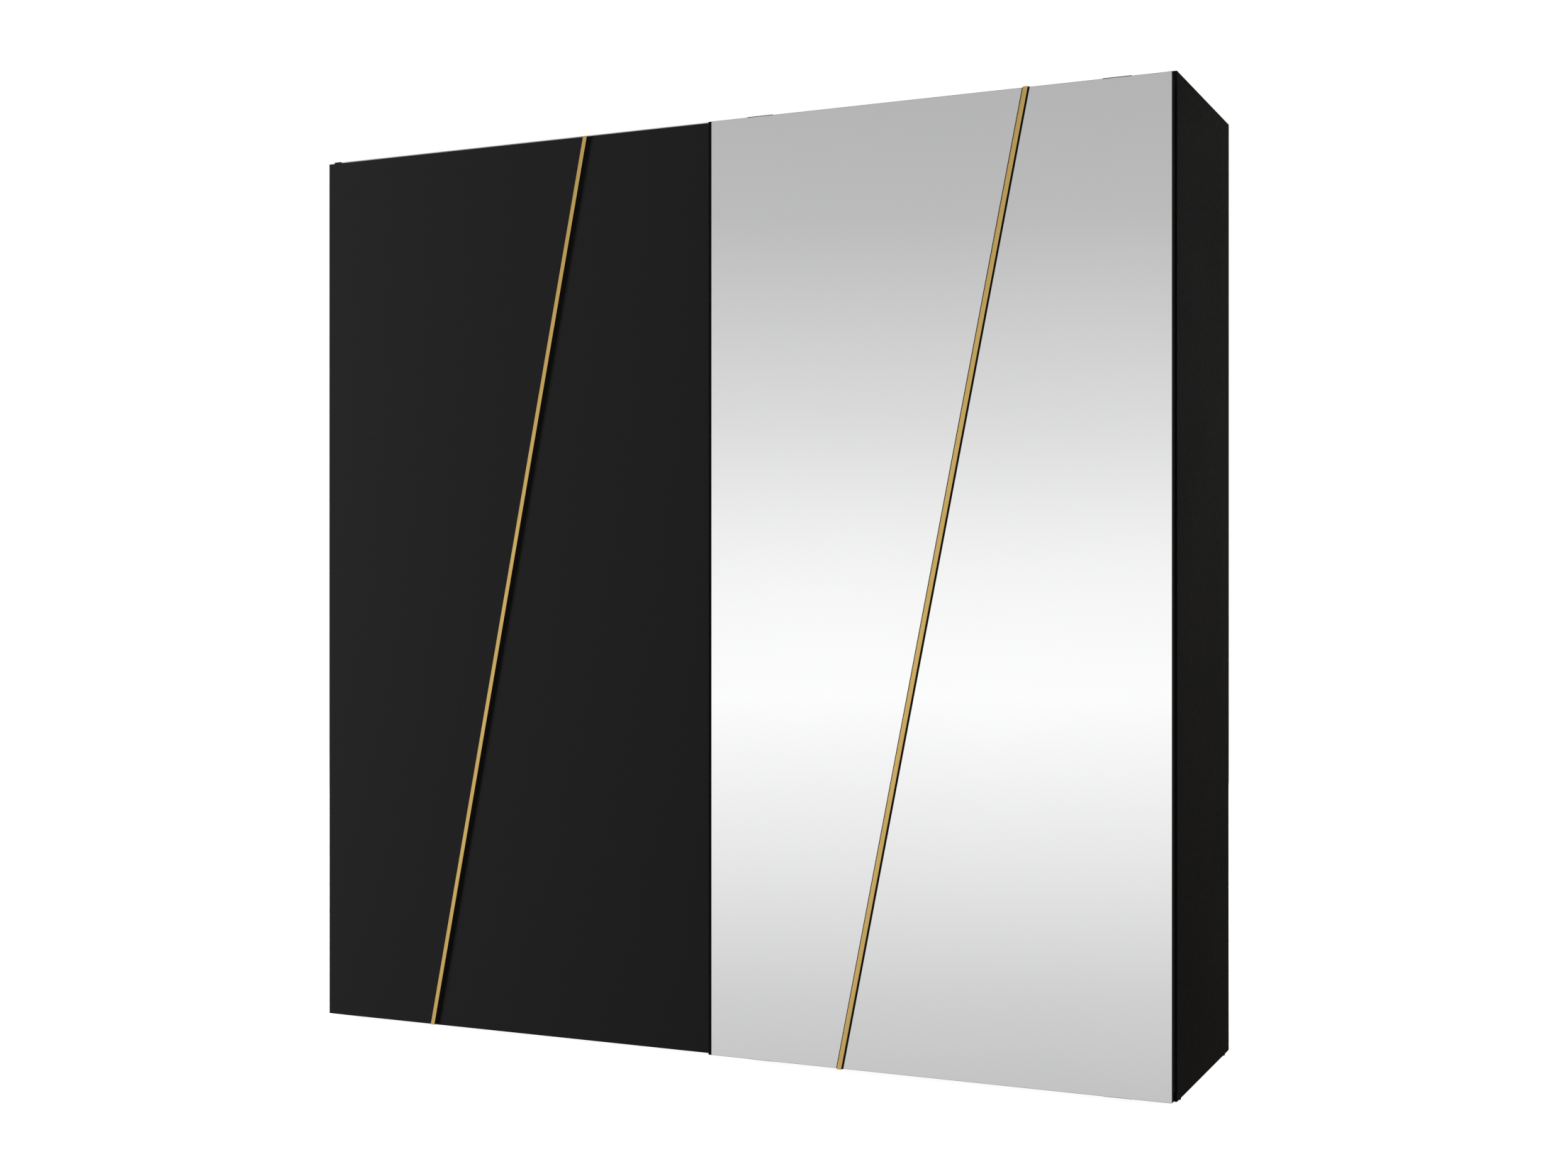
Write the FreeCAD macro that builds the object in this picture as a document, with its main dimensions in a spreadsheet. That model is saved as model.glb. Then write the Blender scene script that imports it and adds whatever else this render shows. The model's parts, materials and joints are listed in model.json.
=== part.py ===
import FreeCAD, Part
import os
import re
import Sketcher

# Sliding door wardrobe: a black carcass behind two overlay doors that hang from a double top rail.
# The left door is matte black and runs on the front track; the right door is mirrored, stands in
# front of it and runs on the rear track.  Each door carries a diagonal gold strip.
#
# Millimetres.  +Z is up, the doors face -Y, and +X is to the right of someone facing them.  The
# origin is on the floor, in the middle of the overall width and depth.

SIZES = [
    # The carcass
    ("width", 2140, "overall width, over the side panels and over the closed doors"),
    ("height", 2150, "floor to the top of the carcass"),
    ("carcass_depth", 525, "front edge of the side panels to the rearmost back strip"),
    ("board", 18, "carcass board"),
    ("back_sheet", 3, "fibreboard back"),
    ("back_edge", 2, "back sheet inside the carcass outline"),
    ("strip_flange", 1, "flange of the back joining strip"),
    ("strip_web", 1.5, "web of the back joining strip"),
    ("strip_height", 24, "height of the back joining strip"),
    ("strip_level", 1100, "middle of the back joining strip"),
    ("plinth_height", 50, "floor to the underside of the bottom panel"),
    ("plinth_inset", 60, "carcass front to the front plinth, and carcass back to the rear one"),
    ("foot_rise", 4, "floor glide thickness"),
    ("foot_radius", 8, "floor glide radius"),
    ("foot_inset", 40, "side panel's edges to its floor glides"),
    # Inside
    ("inside_set_back", 60, "carcass front to the shelves and the divider"),
    ("partition_gap", 5, "top rail to the centre partition"),
    ("inside_back_play", 2, "gap behind the shelves and the divider"),
    ("top_shelf_drop", 370, "carcass top to the underside of the two top shelves"),
    ("shelf_play", 0.5, "gap at each end of a shelf"),
    ("first_shelf_level", 420, "underside of the lowest loose shelf"),
    ("shelf_pitch", 440, "from one loose shelf to the next"),
    ("pin_radius", 2.5, "shelf pin"),
    ("pin_sink", 8, "shelf pin in its panel"),
    ("pin_reach", 9, "shelf pin under its shelf"),
    ("pin_front", 100, "carcass front to the front shelf pins"),
    ("pin_rear", 480, "carcass front to the rear shelf pins"),
    ("hanger_radius", 12.5, "clothes rail"),
    ("hanger_wall", 1.5, "clothes rail wall"),
    ("hanger_drop", 60, "top shelf underside to the clothes rail's axis"),
    ("hanger_back", 290, "carcass front to the clothes rail's axis"),
    ("socket_radius", 22, "flange of a clothes rail socket"),
    ("socket_plate", 3, "flange thickness"),
    ("socket_collar", 12, "length of the collar around the rail"),
    ("socket_wall", 2, "collar wall"),
    # The doors
    ("seam_offset", 6, "middle of the wardrobe to the mirror door's left edge"),
    ("door_overlap", 20, "overlap of the closed doors"),
    ("door_board", 16, "left door's board"),
    ("mirror_board", 14, "mirror door's board"),
    ("edge_band", 1, "edge band"),
    ("carcass_gap", 5, "side panels to the left door's back"),
    ("door_gap", 9, "left door's face to the mirror door's back"),
    ("mirror_thick", 4, "mirror pane"),
    ("seal_width", 7, "rubber seal along the mirror's leading edge"),
    ("left_door_rise", 9, "floor to the left door"),
    ("mirror_door_rise", 12, "floor to the mirror door"),
    ("mirror_door_drop", 13, "carcass top to the mirror door's top"),
    # The diagonal strips
    ("gold_width", 10, "gold strip"),
    ("gold_thick", 2, "gold strip"),
    ("carrier_width", 15, "foot of the carrier profile"),
    ("carrier_seat", 5, "carrier below the door's face"),
    ("strip_proud", 5, "gold face in front of the door's face"),
    ("left_strip_start", 312, "left door's left edge to its strip's axis at the bottom"),
    ("mirror_strip_start", 324, "mirror door's left edge to its strip's axis at the bottom"),
    ("strip_lean", 428, "how far a strip's top is to the right of its bottom"),
    ("strip_overrun", 1, "mirror door's strip beyond the door's ends"),
    # Rails
    ("rail_front", 4, "carcass front to the rails"),
    ("rail_wall", 2, "rail wall"),
    ("rail_lid_drop", 0.5, "carcass top to the rail's lid"),
    ("rail_floor_drop", 50, "carcass top to the rail's floor"),
    ("rail_lip", 15, "lip below the rail's floor"),
    ("rail_side_play", 1, "rail ends to the side panels"),
    ("rail_play", 2.7, "rear axles' heads to the top rail's web"),
    ("front_track", 14, "carcass front to the front track"),
    ("channel_width", 12, "inside of a bottom channel"),
    ("channel_height", 20, "bottom rail"),
    # Running gear
    ("roller_drop", 28, "carcass top to the roller axles"),
    ("roller_radius", 14, "bottom of the roller's groove"),
    ("roller_flange", 2, "flange above the groove"),
    ("roller_width", 10, "roller"),
    ("groove_width", 3.2, "floor of the roller's groove"),
    ("flange_width", 1.5, "rim of the roller's flanges"),
    ("rail_clearance", 0.3, "roller's groove to the track"),
    ("axle_radius", 3, "roller axle"),
    ("axle_play", 0.05, "axle to the roller's bore"),
    ("axle_head_radius", 5, "spacer and head of the axle"),
    ("axle_head", 1, "head of the axle"),
    ("end_play", 0.3, "roller to its spacer and head"),
    ("bracket_width", 60, "hangers and guides along the door"),
    ("bracket_inset", 120, "door's edge to the middle of a bracket"),
    ("bracket_steel", 2, "hanger and guide steel"),
    ("hanger_gap", 1.7, "front axles' heads to the mirror door's hangers"),
    ("spacer_length", 4.7, "mirror door's hangers to their rollers' play"),
    ("bracket_grip", 75, "hanger's height on its door"),
    ("bracket_margin", 8, "hanger beyond its axle's centre"),
    ("guide_grip", 60, "guide's height on its door"),
    ("pass_gap", 1.2, "mirror door's brackets to the left door's ends"),
    ("arm_gap", 3.3, "mirror door's hangers to the rail's lid"),
    ("crank", 1.8, "drop of a mirror door bracket's crank"),
    ("crank_reach", 3, "left door's face to the crest of the crank in front of it"),
    ("guide_lift", 4, "left guide's foot above the left door's bottom"),
    ("shoe_length", 40, "guide shoe"),
    ("shoe_play", 1, "guide shoe to the channel's walls"),
    ("shoe_head_gap", 5, "guide shoe to the channel's roof"),
    ("stop_length", 20, "end stop"),
    ("stop_height", 24, "end stop"),
    ("stop_play", 1, "end stop to the roller at the end of its travel"),
    ("brush_width", 10, "dust brush"),
    ("brush_reach", 3.5, "dust brush in front of the side panel"),
    ("brush_inset", 20, "side panel's ends to the dust brush"),
    # Fasteners
    ("screw_radius", 2, "screw shank"),
    ("screw_head", 4, "screw head radius"),
    ("screw_head_height", 2, "screw head"),
    ("screw_grip", 10, "screw in the carcass"),
    ("door_screw_grip", 8, "bracket screw in its door"),
    ("screw_edge", 15, "screw to the end of its bracket"),
    ("partition_screw_radius", 3, "screw that holds the partition"),
    ("partition_screw_head", 5, "its head"),
    ("partition_screw_grip", 40, "its length in the partition"),
    ("rail_screw_end", 60, "side panel to the first rail screw"),
    ("cam_radius", 7.5, "cam"),
    ("cam_depth", 12, "cam"),
    ("cam_inset", 34, "side panel to the cam's axis"),
    ("bolt_radius", 3.5, "cam bolt"),
    ("bolt_sink", 10, "cam bolt in the side panel"),
    ("bolt_reach", 26, "cam bolt in the top or bottom panel"),
    ("cam_front", 100, "carcass front to the front cams"),
    ("cam_rear", 450, "carcass front to the rear cams"),
    # Wall fixing
    ("wall_bracket_width", 40, "wall bracket"),
    ("wall_bracket_leg", 50, "both legs of a wall bracket"),
    ("wall_bracket_steel", 2.5, "wall bracket"),
    ("wall_bracket_inset", 250, "side of the wardrobe to a wall bracket's middle"),
    ("wall_hole_radius", 3.25, "hole for the wall screw"),
    ("wall_hole_drop", 35, "top panel to the wall hole"),
]

RAIL_SCREWS = 7
LOOSE_SHELVES = 3

# Stations: expressions in the sizes above, in the wardrobe's own frame
DOOR_ZONE = "(carcass_gap + door_board + door_gap + mirror_board + mirror_thick + strip_proud)"
FRONT = f"(({DOOR_ZONE} - carcass_depth) / 2)"
BOARD_DEPTH = "(carcass_depth - back_sheet - strip_flange)"
INSIDE_DEPTH = f"({BOARD_DEPTH} - inside_back_play)"
LEFT = "(-width / 2)"
RIGHT = "(width / 2)"
INNER_LEFT = "(board - width / 2)"
INNER_RIGHT = "(width / 2 - board)"
MIDDLE_LEFT = "(-board / 2)"
MIDDLE_RIGHT = "(board / 2)"
DIVIDER_LEFT = "((width - board) / 4 - board / 2)"
DIVIDER_RIGHT = "((width - board) / 4 + board / 2)"
UNDER_TOP = "(height - board)"
FLOOR = "(plinth_height + board)"
TOP_SHELF = "(height - top_shelf_drop)"
AXLE_HEAD_END = "(roller_width / 2 + end_play + axle_head)"
DROP_NEAR = f"(front_track + {AXLE_HEAD_END} + hanger_gap)"
DROP_FAR = f"({DROP_NEAR} + bracket_steel)"
REAR_TRACK = f"({DROP_FAR} + spacer_length + end_play + roller_width / 2)"
RAIL_BACK = f"({REAR_TRACK} + {AXLE_HEAD_END} + rail_play + rail_wall)"
ARM_TOP = "(height - rail_lid_drop - rail_wall - arm_gap)"
ARM_BASE = f"({ARM_TOP} - bracket_steel)"
ROLLER_LEVEL = "(height - roller_drop)"
RAIL_FLOOR = "(height - rail_floor_drop)"
CHANNEL_ROOF = "(plinth_height - rail_wall)"
SHOE_TOP = f"({CHANNEL_ROOF} - shoe_head_gap)"

TURNS = {"X": ((0, 1, 0), 90), "Y": ((1, 0, 0), -90), "Z": ((0, 0, 1), 0)}
ALIASES = re.compile(r"\b(" + "|".join(alias for alias, _, _ in SIZES) + r")\b")

doc = FreeCAD.newDocument("Wardrobe")
nodes = []


class Door:
    """The stations of one door: its ends, its back, the faces of its board and of the door, its track."""

    def __init__(self, name, x, z, back, board_face, face, track, strip_start, overrun):
        self.name = name
        self.x = x
        self.z = z
        self.strip_start = strip_start
        self.overrun = overrun
        self.back = back
        self.board_face = board_face
        self.face = face
        self.track = track

    def bracket_middles(self):
        return {
            "left": f"({self.x[0]} + bracket_inset)",
            "right": f"({self.x[1]} - bracket_inset)",
        }


LEFT_DOOR = Door(
    name="left_door",
    x=(LEFT, "(seam_offset + door_overlap)"),
    z=("left_door_rise", f"({ARM_BASE} - pass_gap)"),
    back="(-carcass_gap)",
    board_face="(-carcass_gap - door_board)",
    face="(-carcass_gap - door_board)",
    track="front_track",
    strip_start="left_strip_start",
    overrun="0",
)
MIRROR_DOOR = Door(
    name="mirror_door",
    x=("seam_offset", RIGHT),
    z=("mirror_door_rise", "(height - mirror_door_drop)"),
    back="(-carcass_gap - door_board - door_gap)",
    board_face="(-carcass_gap - door_board - door_gap - mirror_board)",
    face="(-carcass_gap - door_board - door_gap - mirror_board - mirror_thick)",
    track=REAR_TRACK,
    strip_start="mirror_strip_start",
    overrun="strip_overrun",
)


# ---------------------------------------------------------------- document helpers

def make_sheet():
    """The spreadsheet of driving dimensions, one aliased cell each."""
    sheet = doc.addObject("Spreadsheet::Sheet", "Sizes")
    for row, (alias, size, meaning) in enumerate(SIZES, start=1):
        sheet.set(f"A{row}", alias)
        sheet.set(f"B{row}", str(size))
        sheet.set(f"C{row}", meaning)
        sheet.setAlias(f"B{row}", alias)
    doc.recompute()
    return sheet


def expand(expression):
    """Point every alias in an expression at its cell."""
    return ALIASES.sub(r"Sizes.\1", str(expression))


def bind(feature, prop, expression):
    feature.setExpression(prop, expand(expression))


def place(feature, x, y, z):
    for axis, station in zip("xyz", (x, y, z)):
        bind(feature, f"Placement.Base.{axis}", station)


def behind(distance):
    """The Y station at a distance behind the carcass's front edge; doors have negative distances."""
    return f"({FRONT} + ({distance}))"


def depth(near, far):
    """The Y stations of two distances behind the carcass's front edge."""
    return (behind(near), behind(far))


def middle(station, width):
    """Two stations either side of a middle one."""
    return (f"({station} - {width} / 2)", f"({station} + {width} / 2)")


def node(feature, label):
    """Name a finished sub-part."""
    feature.Label = label
    nodes.append(feature)
    return feature


def box(label, x, y, z):
    """A box between two stations on each axis."""
    solid = doc.addObject("Part::Box", label)
    for prop, (low, high) in zip(("Length", "Width", "Height"), (x, y, z)):
        bind(solid, prop, f"({high}) - ({low})")
    place(solid, x[0], y[0], z[0])
    return solid


def rod(label, axis, centre, reach, radius):
    """A cylinder along one axis: centre holds its other two stations, reach its two ends."""
    solid = doc.addObject("Part::Cylinder", label)
    direction, angle = TURNS[axis]
    solid.Placement.Rotation = FreeCAD.Rotation(FreeCAD.Vector(*direction), angle)
    bind(solid, "Radius", radius)
    bind(solid, "Height", f"({reach[1]}) - ({reach[0]})")
    start = list(centre)
    start.insert("XYZ".index(axis), reach[0])
    place(solid, *start)
    return solid


def fused(label, pieces):
    solid = doc.addObject("Part::MultiFuse", label)
    solid.Shapes = pieces
    solid.Refine = True
    return solid


def group(label, pieces):
    """Several separate solids in one object."""
    compound = doc.addObject("Part::Compound", label)
    compound.Links = pieces
    return compound


def cut(label, base, tools):
    """A solid less everything that is set into it or passes through it."""
    solid = doc.addObject("Part::Cut", label)
    solid.Base = base
    solid.Tool = group(label + "_tools", tools)
    return solid


def common(label, first, second):
    solid = doc.addObject("Part::Common", label)
    solid.Base = first
    solid.Tool = second
    return solid


def screw(label, axis, centre, seat, into, hold):
    """A screw with its head's underside on the seat; into is +1 or -1, the way its shank points."""
    shank_end = f"({seat} + {into} * {hold})"
    head_end = f"({seat} - {into} * screw_head_height)"
    shank = (seat, shank_end) if into > 0 else (shank_end, seat)
    head = (head_end, seat) if into > 0 else (seat, head_end)
    return fused(label, [
        rod(label + "_shank", axis, centre, shank, "screw_radius"),
        rod(label + "_head", axis, centre, head, "screw_head"),
    ])


# ---------------------------------------------------------------- carcass

def carcass_fasteners():
    """Cams and bolts at the ends of the top and bottom panels, and the partition's screws."""
    cams = []
    bolts = []
    levels = {
        "top": (UNDER_TOP + " + board / 2", ("(height - cam_depth)", "height")),
        "bottom": ("plinth_height + board / 2", ("plinth_height", "(plinth_height + cam_depth)")),
    }
    sides = {
        "left": (f"({INNER_LEFT} + cam_inset)",
                 (f"({INNER_LEFT} - bolt_sink)", f"({INNER_LEFT} + bolt_reach)")),
        "right": (f"({INNER_RIGHT} - cam_inset)",
                  (f"({INNER_RIGHT} - bolt_reach)", f"({INNER_RIGHT} + bolt_sink)")),
    }
    for level, (bolt_level, cam_reach) in levels.items():
        for side, (cam_x, bolt_reach) in sides.items():
            for row in ("cam_front", "cam_rear"):
                name = f"{level}_{side}_{row}"
                cams.append(rod("cam_" + name, "Z", (cam_x, behind(row)), cam_reach, "cam_radius"))
                bolts.append(rod("bolt_" + name, "X", (behind(row), bolt_level), bolt_reach, "bolt_radius"))
    screws = []
    for row in ("cam_front", "cam_rear"):
        for level, seat, into in (("top", "height", -1), ("bottom", "plinth_height", 1)):
            screws.append(partition_screw(f"partition_screw_{level}_{row}", behind(row), seat, into))
    return cams, bolts, screws


def partition_screw(label, y, seat, into):
    """A screw sunk flush in the top or bottom panel, with its shank in the partition's end."""
    shank_end = f"({seat} + {into} * (board + partition_screw_grip))"
    head_end = f"({seat} + {into} * screw_head_height)"
    shank = (seat, shank_end) if into > 0 else (shank_end, seat)
    head = (seat, head_end) if into > 0 else (head_end, seat)
    return fused(label, [
        rod(label + "_shank", "Z", ("0", y), shank, "partition_screw_radius"),
        rod(label + "_head", "Z", ("0", y), head, "partition_screw_head"),
    ])


def shelf_levels():
    return [f"(first_shelf_level + {step} * shelf_pitch)" for step in range(LOOSE_SHELVES)]


def pins_under(name, x, level):
    """Four pins that carry one shelf, two in the panel at each of its ends."""
    ends = {
        "left": (f"({x[0]} - pin_sink)", f"({x[0]} + pin_reach)"),
        "right": (f"({x[1]} - pin_reach)", f"({x[1]} + pin_sink)"),
    }
    return [
        rod(f"pin_{name}_{end}_{row}", "X", (behind(row), f"({level} - pin_radius)"), reach, "pin_radius")
        for end, reach in ends.items()
        for row in ("pin_front", "pin_rear")
    ]


def shelf_pins():
    pins = pins_under("top_shelf_left", (INNER_LEFT, MIDDLE_LEFT), TOP_SHELF)
    pins += pins_under("top_shelf_right", (MIDDLE_RIGHT, INNER_RIGHT), TOP_SHELF)
    for number, level in enumerate(shelf_levels(), start=1):
        pins += pins_under(f"shelf_{number}", (MIDDLE_RIGHT, DIVIDER_LEFT), level)
    return pins


def shelf(label, x, level):
    """A shelf board that rests on its pins, with a little play at each end."""
    ends = (f"({x[0]} + shelf_play)", f"({x[1]} - shelf_play)")
    return node(box(label, ends, depth("inside_set_back", INSIDE_DEPTH), (level, f"{level} + board")), label)


def clothes_rail(name, x):
    """A tube between two sockets, each a flange screwed to a panel with a collar around the tube."""
    level = f"({TOP_SHELF} - hanger_drop)"
    axis = (behind("hanger_back"), level)
    ends = (f"({x[0]} + socket_plate)", f"({x[1]} - socket_plate)")
    outer = rod(f"{name}_outer", "X", axis, ends, "hanger_radius")
    bore = rod(f"{name}_bore", "X", axis, ends, "hanger_radius - hanger_wall")
    node(cut(name, outer, [bore]), name)
    plates = {
        "left": ((x[0], ends[0]), (ends[0], f"({ends[0]} + socket_collar)")),
        "right": ((ends[1], x[1]), (f"({ends[1]} - socket_collar)", ends[1])),
    }
    sockets = []
    for side, (plate, collar) in plates.items():
        solid = fused(f"{name}_socket_{side}_blank", [
            rod(f"{name}_flange_{side}", "X", axis, plate, "socket_radius"),
            rod(f"{name}_collar_{side}", "X", axis, collar, "hanger_radius + socket_wall"),
        ])
        sockets.append(cut(f"{name}_socket_{side}", solid, [outer]))
    return sockets


def wall_brackets():
    """Steel angles under the top panel at the back, with their screws and the holes for wall screws."""
    brackets = []
    screws = []
    holes = []
    for side, x in (("left", f"({LEFT} + wall_bracket_inset)"), ("right", f"({RIGHT} - wall_bracket_inset)")):
        across = middle(x, "wall_bracket_width")
        corner = f"({BOARD_DEPTH} - wall_bracket_leg)"
        blank = fused(f"wall_bracket_{side}_blank", [
            box(f"wall_bracket_{side}_upright", across,
                depth(f"({BOARD_DEPTH} - wall_bracket_steel)", BOARD_DEPTH),
                (f"({UNDER_TOP} - wall_bracket_leg)", UNDER_TOP)),
            box(f"wall_bracket_{side}_arm", across, depth(corner, BOARD_DEPTH),
                (f"({UNDER_TOP} - wall_bracket_steel)", UNDER_TOP)),
        ])
        hole = rod(f"wall_hole_{side}", "Y", (x, f"({UNDER_TOP} - wall_hole_drop)"),
                   depth(corner, "carcass_depth"), "wall_hole_radius")
        fixing = screw(f"wall_bracket_{side}_screw", "Z", (x, behind(f"({corner} + screw_edge)")),
                       f"({UNDER_TOP} - wall_bracket_steel)", 1, "(wall_bracket_steel + screw_grip)")
        brackets.append(cut(f"wall_bracket_{side}", blank, [hole, fixing]))
        screws.append(fixing)
        holes.append(hole)
    return brackets, screws, holes


def back_panels(holes):
    """Two fibreboard sheets behind each half, joined by an H-shaped strip."""
    sheet_depth = depth(BOARD_DEPTH, f"({BOARD_DEPTH} + back_sheet)")
    lower = ("(plinth_height + back_edge)", "(strip_level - strip_web / 2)")
    upper = ("(strip_level + strip_web / 2)", "(height - back_edge)")
    halves = {
        "left": ((f"({LEFT} + back_edge)", "(-shelf_play)"), (INNER_LEFT, MIDDLE_LEFT), holes[0]),
        "right": (("shelf_play", f"({RIGHT} - back_edge)"), (MIDDLE_RIGHT, INNER_RIGHT), holes[1]),
    }
    strips = []
    for side, (x, inside, hole) in halves.items():
        node(box(f"back_panel_{side}_lower", x, sheet_depth, lower), f"back_panel_{side}_lower")
        blank = box(f"back_panel_{side}_blank", x, sheet_depth, upper)
        node(cut(f"back_panel_{side}_upper", blank, [hole]), f"back_panel_{side}_upper")
        length = (f"({inside[0]} + shelf_play)", f"({inside[1]} - shelf_play)")
        flanges = middle("strip_level", "strip_height")
        bars = [
            box(f"strip_{side}_web", length, sheet_depth, middle("strip_level", "strip_web")),
            box(f"strip_{side}_front", length,
                depth(f"({BOARD_DEPTH} - strip_flange)", BOARD_DEPTH), flanges),
            box(f"strip_{side}_rear", length,
                depth(f"({BOARD_DEPTH} + back_sheet)", "carcass_depth"), flanges),
        ]
        strips.append(fused(f"back_joining_strip_{side}", bars))
    node(group("back_joining_strips", strips), "back_joining_strips")


def floor_glides():
    """A glide near each corner of both side panels and one in the middle of each plinth."""
    front_plinth = "(plinth_inset + board / 2)"
    rear_plinth = f"({BOARD_DEPTH} - plinth_inset - board / 2)"
    spots = [
        (x, y)
        for x in (f"({LEFT} + board / 2)", f"({RIGHT} - board / 2)")
        for y in ("foot_inset", f"({BOARD_DEPTH} - foot_inset)")
    ]
    spots += [("0", front_plinth), ("0", rear_plinth)]
    glides = [
        rod(f"glide_{number}", "Z", (x, behind(y)), ("0", "foot_rise"), "foot_radius")
        for number, (x, y) in enumerate(spots, start=1)
    ]
    node(group("floor_glides", glides), "floor_glides")


def make_carcass():
    cams, bolts, partition_screws = carcass_fasteners()
    pins = shelf_pins()
    brackets, bracket_screws, wall_holes = wall_brackets()
    top_screws, bottom_screws = rail_screws()
    inside = (INNER_LEFT, INNER_RIGHT)

    for side, x in (("left", (LEFT, INNER_LEFT)), ("right", (INNER_RIGHT, RIGHT))):
        name = f"side_panel_{side}"
        blank = box(name + "_blank", x, depth("0", BOARD_DEPTH), ("foot_rise", "height"))
        node(cut(name, blank, bolts + pins), name)
    blank = box("top_panel_blank", inside, depth(RAIL_BACK, BOARD_DEPTH), (UNDER_TOP, "height"))
    fixings = cams + bolts + partition_screws + bracket_screws + top_screws
    node(cut("top_panel", blank, fixings), "top_panel")
    blank = box("bottom_panel_blank", inside, depth("rail_wall", BOARD_DEPTH), ("plinth_height", FLOOR))
    node(cut("bottom_panel", blank, cams + bolts + partition_screws + bottom_screws), "bottom_panel")
    blank = box("centre_partition_blank", (MIDDLE_LEFT, MIDDLE_RIGHT),
                depth(f"({RAIL_BACK} + partition_gap)", BOARD_DEPTH), (FLOOR, UNDER_TOP))
    node(cut("centre_partition", blank, partition_screws + pins), "centre_partition")
    back_panels(wall_holes)
    plinths = {
        "front_plinth": ("plinth_inset", "(plinth_inset + board)"),
        "rear_plinth": (f"({BOARD_DEPTH} - plinth_inset - board)", f"({BOARD_DEPTH} - plinth_inset)"),
    }
    for name, (near, far) in plinths.items():
        node(box(name, inside, depth(near, far), ("foot_rise", "plinth_height")), name)
    floor_glides()

    shelf("top_shelf_left", (INNER_LEFT, MIDDLE_LEFT), TOP_SHELF)
    shelf("top_shelf_right", (MIDDLE_RIGHT, INNER_RIGHT), TOP_SHELF)
    blank = box("shelf_divider_blank", (DIVIDER_LEFT, DIVIDER_RIGHT),
                depth("inside_set_back", INSIDE_DEPTH), (FLOOR, TOP_SHELF))
    node(cut("shelf_divider", blank, pins), "shelf_divider")
    for number, level in enumerate(shelf_levels(), start=1):
        shelf(f"shelf_{number}", (MIDDLE_RIGHT, DIVIDER_LEFT), level)
    sockets = clothes_rail("clothes_rail_left", (INNER_LEFT, MIDDLE_LEFT))
    sockets += clothes_rail("clothes_rail_right", (DIVIDER_RIGHT, INNER_RIGHT))

    node(group("clothes_rail_sockets", sockets), "clothes_rail_sockets")
    node(group("shelf_pins", pins), "shelf_pins")
    node(group("cam_fittings", cams + bolts), "cam_fittings")
    node(group("carcass_screws", partition_screws + bracket_screws), "carcass_screws")
    node(group("wall_brackets", brackets), "wall_brackets")
    make_rails(top_screws, bottom_screws)


# ---------------------------------------------------------------- rails

def rail_screws():
    """Screws through the top rail's web and through the roofs of the bottom rail's channels."""
    top = []
    bottom = []
    first = f"({INNER_LEFT} + rail_screw_end)"
    pitch = f"((width - 2 * board - 2 * rail_screw_end) / {RAIL_SCREWS - 1})"
    web = behind(f"({RAIL_BACK} - rail_wall)")
    hold = "(rail_wall + screw_grip)"
    for number in range(RAIL_SCREWS):
        x = f"({first} + {number} * {pitch})"
        track = "front_track" if number % 2 else REAR_TRACK
        top.append(screw(f"top_rail_screw_{number}", "Y", (x, f"({UNDER_TOP} + board / 2)"), web, 1, hold))
        bottom.append(screw(f"bottom_rail_screw_{number}", "Z", (x, behind(track)), CHANNEL_ROOF, 1, hold))
    return top, bottom


def make_rails(top_screws, bottom_screws):
    length = (f"({INNER_LEFT} + rail_side_play)", f"({INNER_RIGHT} - rail_side_play)")
    rail_top = "(height - rail_lid_drop)"
    rail_base = f"({RAIL_FLOOR} - rail_wall)"
    track_top = f"({ROLLER_LEVEL} - roller_radius - rail_clearance)"
    whole_depth = depth("rail_front", RAIL_BACK)
    bars = [
        box("top_rail_web", length, depth(f"({RAIL_BACK} - rail_wall)", RAIL_BACK), (rail_base, rail_top)),
        box("top_rail_lid", length, whole_depth, (f"({rail_top} - rail_wall)", rail_top)),
        box("top_rail_floor", length, whole_depth, (rail_base, RAIL_FLOOR)),
        box("top_rail_lip", length, depth("rail_front", "(rail_front + rail_wall)"),
            (f"({rail_base} - rail_lip)", RAIL_FLOOR)),
    ]
    for name, track in (("front", "front_track"), ("rear", REAR_TRACK)):
        track_depth = middle(behind(track), "rail_wall")
        bars.append(box(f"top_rail_{name}_track", length, track_depth, (RAIL_FLOOR, track_top)))
    node(cut("top_rail", fused("top_rail_profile", bars), top_screws), "top_rail")

    outside = "(channel_width / 2 + rail_wall)"
    roof = depth(f"(front_track - {outside})", f"({REAR_TRACK} + {outside})")
    bars = [box("bottom_rail_roof", length, roof, (CHANNEL_ROOF, "plinth_height"))]
    wall_height = ("(plinth_height - channel_height)", "plinth_height")
    for name, track in (("front", "front_track"), ("rear", REAR_TRACK)):
        near = (f"({track} - {outside})", f"({track} - channel_width / 2)")
        far = (f"({track} + channel_width / 2)", f"({track} + {outside})")
        for wall, (start, end) in (("near", near), ("far", far)):
            bars.append(box(f"bottom_rail_{name}_{wall}", length, depth(start, end), wall_height))
    node(cut("bottom_rail", fused("bottom_rail_profile", bars), bottom_screws), "bottom_rail")
    node(group("rail_screws", top_screws + bottom_screws), "rail_screws")
    end_stops(track_top)
    dust_brushes()


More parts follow.
